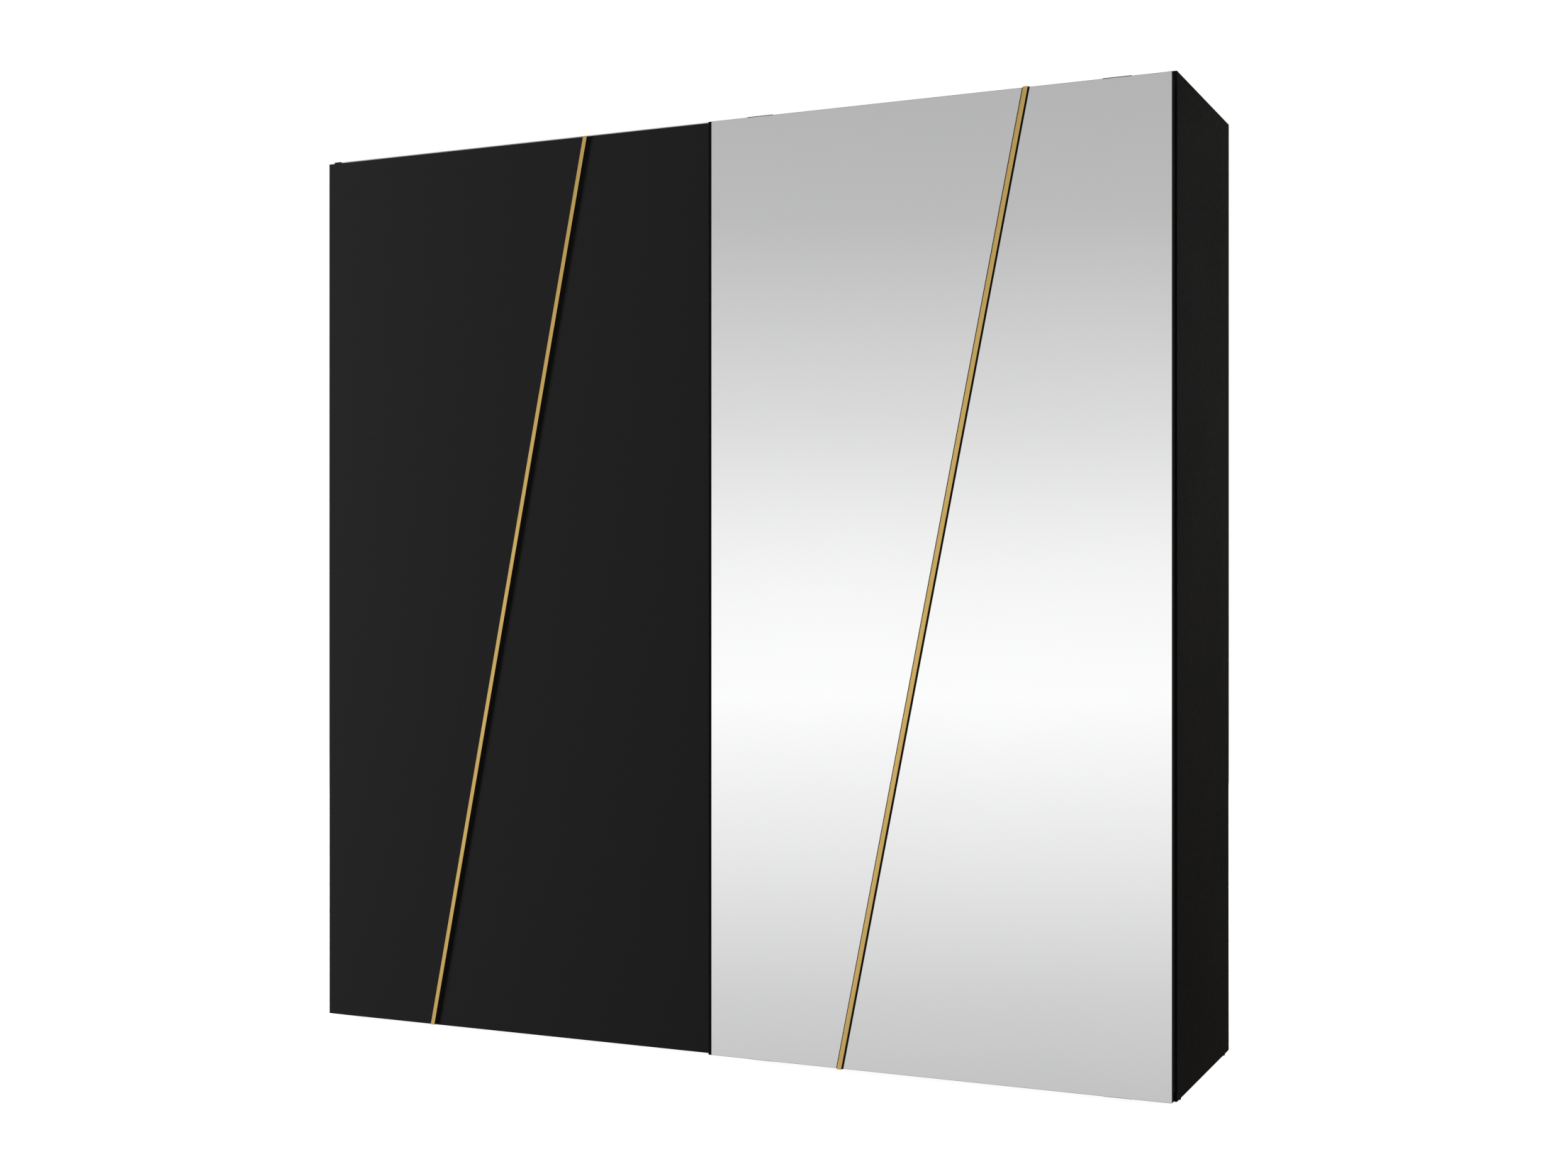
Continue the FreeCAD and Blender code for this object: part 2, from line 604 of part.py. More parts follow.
def end_stops(track_top):
    """A block clipped over each track just beyond the end of its rollers' travel."""
    beyond = "(bracket_inset - roller_radius - roller_flange - stop_play)"
    ends = {
        "left": (f"({LEFT} + {beyond} - stop_length)", f"({LEFT} + {beyond})"),
        "right": (f"({RIGHT} - {beyond})", f"({RIGHT} - {beyond} + stop_length)"),
    }
    stops = []
    for name, track in (("front", "front_track"), ("rear", REAR_TRACK)):
        rib = box(f"stop_slot_{name}", (LEFT, RIGHT), middle(behind(track), "rail_wall"), (RAIL_FLOOR, track_top))
        for side, x in ends.items():
            blank = box(f"stop_{name}_{side}_blank", x, middle(behind(track), "roller_width"),
                        (RAIL_FLOOR, f"({RAIL_FLOOR} + stop_height)"))
            stops.append(cut(f"stop_{name}_{side}", blank, [rib]))
    node(group("rail_end_stops", stops), "rail_end_stops")


def dust_brushes():
    """A brush down the front edge of each side panel."""
    reach = depth("(-brush_reach)", "0")
    level = ("(foot_rise + brush_inset)", "(height - brush_inset)")
    sides = {"left": f"({LEFT} + board / 2)", "right": f"({RIGHT} - board / 2)"}
    brushes = [box(f"dust_brush_{side}", middle(x, "brush_width"), reach, level) for side, x in sides.items()]
    node(group("dust_brushes", brushes), "dust_brushes")


# ---------------------------------------------------------------- doors

def tilted(door, label, across, y):
    """A bar along the door's diagonal axis, between two offsets to its right and two depths.

    It starts and ends beyond the door, whose outline or ends then trim it."""
    angle = f"atan(strip_lean / ({door.z[1]} - {door.z[0]}))"
    bar = doc.addObject("Part::Box", label)
    bar.Placement.Rotation = FreeCAD.Rotation(FreeCAD.Vector(0, 1, 0), 1)
    bind(bar, "Placement.Rotation.Angle", angle)
    bind(bar, "Length", f"({across[1]}) - ({across[0]})")
    bind(bar, "Width", f"({y[1]}) - ({y[0]})")
    bind(bar, "Height", "2 * width + 2 * height")
    x = f"{door.x[0]} + {door.strip_start} + ({across[0]}) * cos({angle}) - width * sin({angle})"
    z = f"{door.z[0]} - ({across[0]}) * sin({angle}) - width * cos({angle})"
    place(bar, x, y[0], z)
    return bar


def strip_bar(door, label, width, near, far):
    """A length of the diagonal profile, trimmed level at the door's ends or just beyond them."""
    half = f"({width} / 2)"
    bar = tilted(door, label + "_long", (f"(-{half})", half), depth(near, far))
    ends = (f"({door.z[0]} - {door.overrun})", f"({door.z[1]} + {door.overrun})")
    return common(label, bar, box(label + "_ends", door.x, depth(near, far), ends))


def make_strip(door):
    """The black carrier, seated in the door's face, and the gold strip on it."""
    seat = f"({door.face} + carrier_seat)"
    gold_back = f"({door.face} - strip_proud + gold_thick)"
    gold_face = f"({door.face} - strip_proud)"
    foot = strip_bar(door, f"{door.name}_carrier_foot", "carrier_width", door.face, seat)
    stem = strip_bar(door, f"{door.name}_carrier_stem", "gold_width", gold_back, door.face)
    node(fused(f"{door.name}_strip_carrier", [foot, stem]), f"{door.name}_strip_carrier")
    gold = strip_bar(door, f"{door.name}_gold_strip", "gold_width", gold_face, gold_back)
    node(gold, f"{door.name}_gold_strip")
    return foot


def make_board(door, fittings):
    """The door's board and its edge bands, less the seats of everything set into them."""
    thick = depth(door.board_face, door.back)
    core_x = (f"({door.x[0]} + edge_band)", f"({door.x[1]} - edge_band)")
    core_z = (f"({door.z[0]} + edge_band)", f"({door.z[1]} - edge_band)")
    core = box(f"{door.name}_core", core_x, thick, core_z)
    node(cut(f"{door.name}_board", core, fittings), f"{door.name}_board")
    bands = [
        box(f"{door.name}_band_left", (door.x[0], core_x[0]), thick, door.z),
        box(f"{door.name}_band_right", (core_x[1], door.x[1]), thick, door.z),
    ]
    for end, z in (("bottom", (door.z[0], core_z[0])), ("top", (core_z[1], door.z[1]))):
        blank = box(f"{door.name}_band_{end}_blank", core_x, thick, z)
        bands.append(cut(f"{door.name}_band_{end}", blank, fittings))
    node(group(f"{door.name}_edge_bands", bands), f"{door.name}_edge_bands")


def bracket_screws(name, x, levels, seat):
    """Countersunk screws, flush with the bracket, whose shanks are in the door's board."""
    screws = []
    for number, level in enumerate(levels, start=1):
        label = f"{name}_screw_{number}"
        head = depth(f"({seat} - bracket_steel)", seat)
        shank = depth(f"({seat} - bracket_steel - door_screw_grip)", f"({seat} - bracket_steel)")
        screws.append(fused(label, [
            rod(label + "_head", "Y", (x, level), head, "screw_head"),
            rod(label + "_shank", "Y", (x, level), shank, "screw_radius"),
        ]))
    return screws


def axle(label, x, plate, track):
    """A stepped bolt: shank through the plate, spacer, roller seat and head."""
    half = "(roller_width / 2 + end_play)"
    head = (f"({track} + {half})", f"({track} + {half} + axle_head)")
    spacer = (plate[1], f"({track} - {half})")
    centre = (x, ROLLER_LEVEL)
    return fused(label, [
        rod(label + "_shank", "Y", centre, depth(plate[0], head[1]), "axle_radius"),
        rod(label + "_spacer", "Y", centre, depth(*spacer), "axle_head_radius"),
        rod(label + "_head", "Y", centre, depth(*head), "axle_head_radius"),
    ])


def make_roller(door, side, x):
    """A grooved nylon roller, turned about its own axle."""
    name = f"{door.name}_roller_{side}"
    body = doc.addObject("PartDesign::Body", name)
    sketch = body.newObject("Sketcher::SketchObject", name + "_section")
    plane = next(item for item in body.Origin.OriginFeatures if item.Role == "XY_Plane")
    sketch.AttachmentSupport = [(plane, "")]
    sketch.MapMode = "FlatFace"
    bore = "axle_radius + axle_play"
    rim = "roller_radius + roller_flange"
    half = "roller_width / 2"
    section = [
        (bore, f"-{half}"), (rim, f"-{half}"), (rim, f"flange_width - {half}"),
        ("roller_radius", "-groove_width / 2"), ("roller_radius", "groove_width / 2"),
        (rim, f"{half} - flange_width"), (rim, half), (bore, half),
    ]
    draw(sketch, section)
    turned = body.newObject("PartDesign::Revolution", name + "_turned")
    turned.Profile = sketch
    turned.ReferenceAxis = (sketch, ["V_Axis"])
    turned.Angle = 360
    body.Tip = turned
    place(body, x, behind(door.track), ROLLER_LEVEL)
    node(body, name)


def draw(sketch, outline):
    """A closed outline whose corners are each held by two dimensions from the sketch's axes."""
    count = len(outline)
    for number in range(count):
        start = FreeCAD.Vector(number, number ** 2, 0)
        end = FreeCAD.Vector((number + 1) % count, ((number + 1) % count) ** 2, 0)
        sketch.addGeometry(Part.LineSegment(start, end))
    for number, corner in enumerate(outline):
        sketch.addConstraint(Sketcher.Constraint("Coincident", number, 2, (number + 1) % count, 1))
        for direction, station in zip(("DistanceX", "DistanceY"), corner):
            index = sketch.addConstraint(Sketcher.Constraint(direction, -1, 1, number, 1, 1.0))
            sketch.setExpression(f"Constraints[{index}]", expand(station))


def make_left_door():
    door = LEFT_DOOR
    plate = (door.back, f"({door.back} + bracket_steel)")
    guide_base = f"({door.z[0]} + guide_lift)"
    screws = []
    axles = []
    shoes = []
    for side, x in door.bracket_middles().items():
        across = middle(x, "bracket_width")
        name = f"{door.name}_hanger_{side}"
        bolt = axle(f"{door.name}_axle_{side}", x, plate, door.track)
        base = f"({door.z[1]} - bracket_grip)"
        levels = (f"({base} + screw_edge)", f"({base} + 2 * screw_edge)")
        fixings = bracket_screws(name, x, levels, plate[1])
        blank = box(name + "_plate", across, depth(*plate), (base, f"({ROLLER_LEVEL} + bracket_margin)"))
        node(cut(name, blank, [bolt] + fixings), name)
        axles.append(bolt)
        screws += fixings

        name = f"{door.name}_guide_{side}"
        levels = (f"({guide_base} + 2 * screw_edge)", f"({guide_base} + 3 * screw_edge)")
        fixings = bracket_screws(name, x, levels, plate[1])
        blank = fused(name + "_bent", [
            box(name + "_upright", across, depth(*plate), (guide_base, f"({guide_base} + guide_grip)")),
            box(name + "_foot", across, depth(door.back, f"({door.track} + channel_width / 2)"),
                (guide_base, f"({guide_base} + bracket_steel)")),
        ])
        node(cut(name, blank, fixings), name)
        screws += fixings
        shoes.append(guide_shoe(door, side, x, f"({guide_base} + bracket_steel)"))
        make_roller(door, side, x)
    finish_door(door, screws, axles, shoes, screws)


def make_mirror_door():
    door = MIRROR_DOOR
    plate = (f"({door.back} - bracket_steel)", door.back)
    crest = f"({LEFT_DOOR.face} - crank_reach)"
    lean = f"(crank * ({crest} - {plate[0]}) / ({crest} - {plate[1]}))"
    foot_top = f"({LEFT_DOOR.z[0]} - pass_gap)"
    foot_base = f"({foot_top} - bracket_steel)"
    foot_end = f"({door.track} + channel_width / 2)"
    screws = []
    axles = []
    shoes = []
    blanks = []
    for side, x in door.bracket_middles().items():
        across = middle(x, "bracket_width")
        name = f"{door.name}_hanger_{side}"
        bolt = axle(f"{door.name}_axle_{side}", x, (DROP_NEAR, DROP_FAR), door.track)
        base = f"({door.z[1]} - bracket_grip)"
        drop_end = f"({ROLLER_LEVEL} - bracket_margin)"
        levels = (f"({base} + screw_edge)", f"({base} + 2 * screw_edge)")
        fixings = bracket_screws(name, x, levels, plate[1])
        blank = pressing(name + "_bent", across, [
            (plate[0], base), (plate[1], base), (plate[1], f"({ARM_BASE} - crank)"), (crest, ARM_BASE),
            (DROP_NEAR, ARM_BASE), (DROP_NEAR, drop_end), (DROP_FAR, drop_end), (DROP_FAR, ARM_TOP),
            (crest, ARM_TOP), (plate[0], f"({ARM_TOP} - {lean})"),
        ])
        node(cut(name, blank, [bolt] + fixings), name)
        axles.append(bolt)
        screws += fixings
        blanks.append(blank)

        name = f"{door.name}_guide_{side}"
        top = f"({foot_base} + guide_grip)"
        levels = (f"({door.z[0]} + 2 * screw_edge)", f"({door.z[0]} + 3 * screw_edge)")
        fixings = bracket_screws(name, x, levels, plate[1])
        blank = pressing(name + "_bent", across, [
            (plate[0], top), (plate[0], f"({foot_base} + {lean})"), (crest, foot_base),
            (foot_end, foot_base), (foot_end, foot_top), (crest, foot_top),
            (plate[1], f"({foot_top} + crank)"), (plate[1], top),
        ])
        node(cut(name, blank, fixings), name)
        screws += fixings
        blanks.append(blank)
        shoes.append(guide_shoe(door, side, x, foot_top))
        make_roller(door, side, x)
    finish_door(door, screws, axles, shoes, screws + blanks)
    mirror_panes(door)


def pressing(label, across, outline):
    """A plate bent to an outline of distances behind the carcass's front edge and levels."""
    sketch = doc.addObject("Sketcher::SketchObject", label + "_section")
    sketch.Placement.Rotation = FreeCAD.Rotation(FreeCAD.Vector(1, 1, 1), 120)
    bind(sketch, "Placement.Base.x", across[0])
    draw(sketch, [(behind(distance), level) for distance, level in outline])
    solid = doc.addObject("Part::Extrusion", label)
    solid.Base = sketch
    solid.DirMode = "Normal"
    solid.Solid = True
    bind(solid, "LengthFwd", f"({across[1]}) - ({across[0]})")
    return solid


def guide_shoe(door, side, x, base):
    """A plastic block on the guide's foot that runs in the door's bottom channel."""
    half = "(channel_width / 2 - shoe_play)"
    near_far = depth(f"({door.track} - {half})", f"({door.track} + {half})")
    return box(f"{door.name}_shoe_{side}", middle(x, "shoe_length"), near_far, (base, SHOE_TOP))


def finish_door(door, screws, axles, shoes, let_in):
    """The board, the strip and the small parts that both doors have."""
    foot = make_strip(door)
    make_board(door, let_in + [foot])
    node(group(f"{door.name}_roller_axles", axles), f"{door.name}_roller_axles")
    node(group(f"{door.name}_guide_shoes", shoes), f"{door.name}_guide_shoes")
    node(group(f"{door.name}_bracket_screws", screws), f"{door.name}_bracket_screws")


def mirror_panes(door):
    """A rubber seal along the leading edge, and two panes that meet the carrier along the diagonal."""
    glass = depth(door.face, door.board_face)
    seal_edge = f"({door.x[0]} + seal_width)"
    node(box("mirror_door_edge_seal", (door.x[0], seal_edge), glass, door.z), "mirror_door_edge_seal")
    edge = "(carrier_width / 2)"
    sides = {"left": (f"(-width - {edge})", f"(-{edge})"), "right": (edge, f"({edge} + width)")}
    for side, across in sides.items():
        name = f"mirror_pane_{side}"
        outline = box(f"{name}_outline", (seal_edge, door.x[1]), glass, door.z)
        node(common(name, outline, tilted(door, f"{name}_side", across, glass)), name)


# ---------------------------------------------------------------- build, check, write

def check_document():
    """Refuse a failed feature or a bad shape."""
    for feature in doc.Objects:
        if "Invalid" in feature.State or "Error" in feature.State:
            raise RuntimeError(f"{feature.Label} failed: {feature.State}")
    for feature in nodes:
        if feature.Shape.isNull() or not feature.Shape.isValid() or not feature.Shape.Solids:
            raise RuntimeError(f"{feature.Label} has no valid shape")


def write_parts():
    os.makedirs("parts", exist_ok=True)
    for feature in nodes:
        feature.Shape.exportStep(f"parts/{feature.Label}.step")


make_sheet()
make_carcass()
make_left_door()
make_mirror_door()
doc.recompute()
check_document()
write_parts()
print(f"{len(nodes)} nodes")
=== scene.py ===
"""Sliding door wardrobe: the finished look of its boards, doors, strips, rails and fittings.

Laid out as an add-on and run as a script.  Metres, +Z up, the doors face -Y.
"""
import json
import math

import bmesh
import bpy
from bpy.props import FloatProperty, FloatVectorProperty, IntProperty, PointerProperty
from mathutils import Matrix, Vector


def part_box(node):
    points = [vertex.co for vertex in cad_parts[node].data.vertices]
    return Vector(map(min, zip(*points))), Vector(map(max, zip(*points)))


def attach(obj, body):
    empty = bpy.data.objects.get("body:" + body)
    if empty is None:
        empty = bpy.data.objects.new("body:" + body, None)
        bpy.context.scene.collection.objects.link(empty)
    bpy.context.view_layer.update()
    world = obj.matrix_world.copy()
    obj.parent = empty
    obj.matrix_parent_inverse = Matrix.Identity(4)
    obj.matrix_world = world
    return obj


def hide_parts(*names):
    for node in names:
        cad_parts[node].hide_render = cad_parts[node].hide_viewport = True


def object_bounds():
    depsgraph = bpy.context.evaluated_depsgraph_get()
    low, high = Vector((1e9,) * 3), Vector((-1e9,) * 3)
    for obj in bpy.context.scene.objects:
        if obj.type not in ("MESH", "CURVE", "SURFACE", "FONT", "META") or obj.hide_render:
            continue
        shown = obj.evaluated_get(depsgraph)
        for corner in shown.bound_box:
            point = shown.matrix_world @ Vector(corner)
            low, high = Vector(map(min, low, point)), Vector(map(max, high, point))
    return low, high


bl_info = {
    "name": "Sliding Door Wardrobe",
    "version": (1, 0, 0),
    "blender": (4, 5, 0),
    "location": "View3D > Sidebar > Wardrobe",
    "description": "Builds the visible pieces of a two-door sliding wardrobe around its frame",
    "category": "Object",
}

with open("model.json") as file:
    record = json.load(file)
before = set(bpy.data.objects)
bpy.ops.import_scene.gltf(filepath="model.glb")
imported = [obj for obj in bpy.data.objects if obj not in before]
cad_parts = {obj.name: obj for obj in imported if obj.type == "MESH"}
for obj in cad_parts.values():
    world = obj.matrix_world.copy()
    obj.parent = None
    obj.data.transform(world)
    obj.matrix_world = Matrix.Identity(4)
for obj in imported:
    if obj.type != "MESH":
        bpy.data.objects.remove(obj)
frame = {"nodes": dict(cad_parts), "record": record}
RECORD = frame["record"]
CAD_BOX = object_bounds()
BODY_OF = {node: body for body, members in RECORD["behaviour"]["bodies"].items() for node in members}
DOORS = ("left_door", "mirror_door")
SIDES = ("left", "right")
SMOOTH_ANGLE = math.radians(35)
FLAT_ANGLE = math.radians(0.5)
SHARP_ANGLE = math.radians(40)
MERGE_DISTANCE = 1e-5

CARCASS_BOARDS = (
    "side_panel_left", "side_panel_right", "top_panel", "front_plinth", "rear_plinth",
)
INNER_BOARDS = (
    "bottom_panel", "centre_partition", "shelf_divider", "top_shelf_left", "top_shelf_right",
    "shelf_1", "shelf_2", "shelf_3",
)
BACK_SHEETS = tuple(f"back_panel_{side}_{row}" for side in SIDES for row in ("upper", "lower"))


# ---------------------------------------------------------------- settings

class WardrobeFinishes(bpy.types.PropertyGroup):
    """Colours of the finishes."""

    carcass_black: FloatVectorProperty(
        name="Carcass", description="Melamine of the side panels and the outer boards",
        subtype="COLOR", size=3, min=0, max=1, default=(0.0200, 0.0183, 0.0172))
    door_black: FloatVectorProperty(
        name="Black door", description="Lacquer of the left door",
        subtype="COLOR", size=3, min=0, max=1, default=(0.0190, 0.0190, 0.0190))
    inner_board: FloatVectorProperty(
        name="Inner boards", description="Melamine of the shelves, the partition and the divider",
        subtype="COLOR", size=3, min=0, max=1, default=(0.066, 0.063, 0.061))
    raw_back: FloatVectorProperty(
        name="Raw fibreboard", description="Uncoated rear face of the back sheets",
        subtype="COLOR", size=3, min=0, max=1, default=(0.17, 0.095, 0.048))
    silver: FloatVectorProperty(
        name="Mirror", description="Silvering behind the mirror panes",
        subtype="COLOR", size=3, min=0, max=1, default=(0.955, 0.960, 0.958))
    gold: FloatVectorProperty(
        name="Gold", description="Anodised face of the diagonal strips",
        subtype="COLOR", size=3, min=0, max=1, default=(0.82, 0.56, 0.18))
    profile_black: FloatVectorProperty(
        name="Black profile", description="Carriers under the gold strips and the steel brackets",
        subtype="COLOR", size=3, min=0, max=1, default=(0.0045, 0.0044, 0.0044))
    aluminium: FloatVectorProperty(
        name="Aluminium", description="Anodised rails",
        subtype="COLOR", size=3, min=0, max=1, default=(0.70, 0.71, 0.72))
    zinc: FloatVectorProperty(
        name="Zinc", description="Plated screws, axles and brackets",
        subtype="COLOR", size=3, min=0, max=1, default=(0.58, 0.59, 0.60))
    nylon: FloatVectorProperty(
        name="Nylon", description="Rollers and guide shoes",
        subtype="COLOR", size=3, min=0, max=1, default=(0.72, 0.70, 0.64))


class WardrobeDetail(bpy.types.PropertyGroup):
    """Sizes of the details that the frame leaves plain."""

    door_band_edge: FloatProperty(
        name="Door band edge", description="Radius of the edges of a door's edge band",
        default=0.0002, min=0.00005, max=0.001, unit="LENGTH")
    board_edge: FloatProperty(
        name="Board edge", description="Radius of a board's banded edges",
        default=0.0008, min=0.0001, max=0.003, unit="LENGTH")
    band_inset: FloatProperty(
        name="Band line", description="Distance of the edge band's joint from the board's edge",
        default=0.0010, min=0.0002, max=0.004, unit="LENGTH")
    band_groove: FloatProperty(
        name="Band groove", description="Width and depth of the joint's fine groove",
        default=0.00012, min=0.00001, max=0.001, unit="LENGTH")
    glass_edge: FloatProperty(
        name="Glass edge", description="Polished bevel around a mirror pane",
        default=0.0010, min=0.0001, max=0.003, unit="LENGTH")
    strip_edge: FloatProperty(
        name="Strip edge", description="Radius of a gold strip's edges",
        default=0.0007, min=0.0001, max=0.002, unit="LENGTH")
    metal_edge: FloatProperty(
        name="Metal edge", description="Radius of the edges of rails and pressed steel",
        default=0.00035, min=0.00005, max=0.001, unit="LENGTH")
    bend_width: FloatProperty(
        name="Bend", description="Distance of a rounded bend's ends from its corner in a steel bracket",
        default=0.002475, min=0.0005, max=0.005, unit="LENGTH")
    fitting_edge: FloatProperty(
        name="Fitting edge", description="Radius of the edges of small fittings",
        default=0.0004, min=0.00005, max=0.001, unit="LENGTH")
    shoe_edge: FloatProperty(
        name="Shoe edge", description="Radius of the edges of the nylon guide shoes",
        default=0.0012, min=0.0002, max=0.002, unit="LENGTH")
    recess_length: FloatProperty(
        name="Recess", description="Length of the cross recess in a screw's head",
        default=0.0042, min=0.001, max=0.006, unit="LENGTH")
    recess_width: FloatProperty(
        name="Recess width", description="Width of the cross recess in a screw's head",
        default=0.0010, min=0.0003, max=0.002, unit="LENGTH")
    recess_depth: FloatProperty(
        name="Recess depth", description="Depth of the cross recess in a screw's head",
        default=0.0013, min=0.0003, max=0.003, unit="LENGTH")
    tuft_pitch: FloatProperty(
        name="Tuft pitch", description="Distance from one brush tuft to the next",
        default=0.0030, min=0.001, max=0.01, unit="LENGTH")
    tuft_width: FloatProperty(
        name="Tuft width", description="Width of the pile across the brush",
        default=0.0055, min=0.001, max=0.01, unit="LENGTH")
    brush_base: FloatProperty(
        name="Brush base", description="Thickness of the strip that holds the pile",
        default=0.0012, min=0.0005, max=0.003, unit="LENGTH")
    bearing_radius: FloatProperty(
        name="Bearing", description="Outside radius of the bearing in a roller",
        default=0.0080, min=0.005, max=0.012, unit="LENGTH")
    bearing_bore: FloatProperty(
        name="Bearing bore", description="Radius of the bore, a little wider than the axle",
        default=0.0033, min=0.003, max=0.005, unit="LENGTH")
    bearing_stand: FloatProperty(
        name="Bearing stand", description="How far a bearing stands out of its roller",
        default=0.0001, min=0.0, max=0.0003, unit="LENGTH")
    segments: IntProperty(
        name="Segments", description="Segments in a rounded edge", default=3, min=1, max=6)


class WardrobeStage(bpy.types.PropertyGroup):
    """The camera, the floor and the lights."""

    camera_place: FloatVectorProperty(
        name="Camera", description="Place of the camera",
        subtype="TRANSLATION", size=3, default=(2.0252, -4.3452, 1.0562))
    camera_azimuth: FloatProperty(
        name="Azimuth", description="Turn of the camera to the right of the doors' square view",
        default=math.radians(24.26), subtype="ANGLE")
    lens: FloatProperty(name="Lens", description="Focal length in millimetres", default=45.685, min=10)
    shift_x: FloatProperty(name="Shift X", description="Sideways lens shift", default=0.0)
    shift_y: FloatProperty(name="Shift Y", description="Upward lens shift", default=0.0053)
    floor_size: FloatProperty(
        name="Floor", description="Side of the square floor", default=60.0, min=5, unit="LENGTH")
    floor_glow: FloatProperty(
        name="Floor glow", description="Light that the floor itself gives off", default=0.95, min=0)
    overhead_power: FloatProperty(
        name="Overhead light", description="Power of the soft light above",
        default=120.0, min=0, unit="POWER")
    raking_power: FloatProperty(
        name="Raking light", description="Power of the soft light across the doors from the left",
        default=650.0, min=0, unit="POWER")
    right_power: FloatProperty(
        name="Right light", description="Power of the soft light on the right side panel",
        default=12.0, min=0, unit="POWER")
    rear_power: FloatProperty(
        name="Rear light", description="Power of the soft light behind the wardrobe",
        default=450.0, min=0, unit="POWER")
    sky_strength: FloatProperty(
        name="Surroundings", description="Brightness of the studio's walls", default=1.0, min=0)


def finishes():
    return bpy.context.scene.wardrobe_finishes


def detail():
    return bpy.context.scene.wardrobe_detail


# ---------------------------------------------------------------- materials

# Nearly all of a noise's values lie between these two.
NOISE_LOW = 0.3
NOISE_HIGH = 0.7


class Finish:
    """A procedural material around one Principled shader, with patterns on Object coordinates."""

    def __init__(self, name, colour, roughness, metallic=0.0, specular=0.5):
        self.material = bpy.data.materials.new(name)
        self.material.use_nodes = True
        self.nodes = self.material.node_tree.nodes
        self.links = self.material.node_tree.links
        self.shader = self.nodes["Principled BSDF"]
        self.colour = tuple(colour)
        self.set("Base Color", (*self.colour, 1))
        self.set("Roughness", roughness)
        self.set("Metallic", metallic)
        self.set("Specular IOR Level", specular)
        self.coordinates = self.nodes.new("ShaderNodeTexCoord").outputs["Object"]

    def set(self, socket, value):
        self.shader.inputs[socket].default_value = value

    def noise(self, scale, spread=(1, 1, 1), tilt=0.0, fineness=3.0):
        """Noise, drawn out along an axis where its spread is below one; tilt turns it about Y."""
        mapping = self.nodes.new("ShaderNodeMapping")
        mapping.vector_type = "TEXTURE"
        mapping.inputs["Rotation"].default_value = (0, tilt, 0)
        mapping.inputs["Scale"].default_value = tuple(1 / part for part in spread)
        noise = self.nodes.new("ShaderNodeTexNoise")
        noise.inputs["Scale"].default_value = scale
        noise.inputs["Detail"].default_value = fineness
        self.links.new(self.coordinates, mapping.inputs["Vector"])
        self.links.new(mapping.outputs["Vector"], noise.inputs["Vector"])
        return noise.outputs["Fac"]

    def flecks(self, scale):
        cells = self.nodes.new("ShaderNodeTexVoronoi")
        cells.inputs["Scale"].default_value = scale
        self.links.new(self.coordinates, cells.inputs["Vector"])
        return cells.outputs["Distance"]

    def mottle(self, pattern, amount):
        """Vary the base colour either side of its own value."""
        ramp = self.nodes.new("ShaderNodeValToRGB")
        ramp.color_ramp.elements[0].position = NOISE_LOW
        ramp.color_ramp.elements[1].position = NOISE_HIGH
        for element, factor in zip(ramp.color_ramp.elements, (1 - amount, 1 + amount)):
            element.color = (*(min(1.0, part * factor) for part in self.colour), 1)
        self.links.new(pattern, ramp.inputs["Fac"])
        self.links.new(ramp.outputs["Color"], self.shader.inputs["Base Color"])

    def vary_roughness(self, pattern, low, high):
        spread = self.nodes.new("ShaderNodeMapRange")
        spread.inputs["From Min"].default_value = NOISE_LOW
        spread.inputs["From Max"].default_value = NOISE_HIGH
        spread.inputs["To Min"].default_value = low
        spread.inputs["To Max"].default_value = high
        self.links.new(pattern, spread.inputs["Value"])
        self.links.new(spread.outputs["Result"], self.shader.inputs["Roughness"])

    def relief(self, pattern, strength, height):
        bump = self.nodes.new("ShaderNodeBump")
        bump.inputs["Strength"].default_value = strength
        bump.inputs["Distance"].default_value = height
        self.links.new(pattern, bump.inputs["Height"])
        self.links.new(bump.outputs["Normal"], self.shader.inputs["Normal"])


def melamine(name, colour, roughness=0.58, specular=0.015):
    """Pressed melamine: a fine pearl texture and a faint cloudiness."""
    finish = Finish(name, colour, roughness, specular=specular)
    finish.mottle(finish.noise(5.0), 0.07)
    finish.vary_roughness(finish.noise(70.0), roughness - 0.04, roughness + 0.05)
    finish.relief(finish.noise(1400.0, fineness=4.0), 0.25, 0.00004)
    return finish.material


def matte_lacquer(name, colour):
    """Dead matte lacquer with the dusty grain that spraying leaves."""
    finish = Finish(name, colour, 0.62, specular=0.015)
    finish.mottle(finish.noise(900.0, fineness=2.0), 0.12)
    finish.vary_roughness(finish.noise(9.0), 0.58, 0.66)
    finish.relief(finish.noise(1800.0, fineness=2.0), 0.18, 0.00003)
    return finish.material


def raw_fibreboard(name, colour):
    """The brown rear of hardboard, with pressed fibres."""
    finish = Finish(name, colour, 0.85, specular=0.2)
    finish.mottle(finish.noise(160.0, spread=(1, 1, 0.25), fineness=8.0), 0.22)
    finish.relief(finish.flecks(700.0), 0.35, 0.0002)
    return finish.material


def silvered_glass(name, colour):
    """The mirror's face: a clean reflection with barely a trace of haze."""
    finish = Finish(name, colour, 0.004, metallic=1.0)
    finish.mottle(finish.noise(2.5), 0.006)
    return finish.material


def ground_glass(name):
    """The green edge of float glass, ground and polished."""
    finish = Finish(name, (0.02, 0.07, 0.055), 0.12)
    finish.mottle(finish.noise(60.0), 0.15)
    finish.vary_roughness(finish.noise(300.0), 0.08, 0.22)
    return finish.material


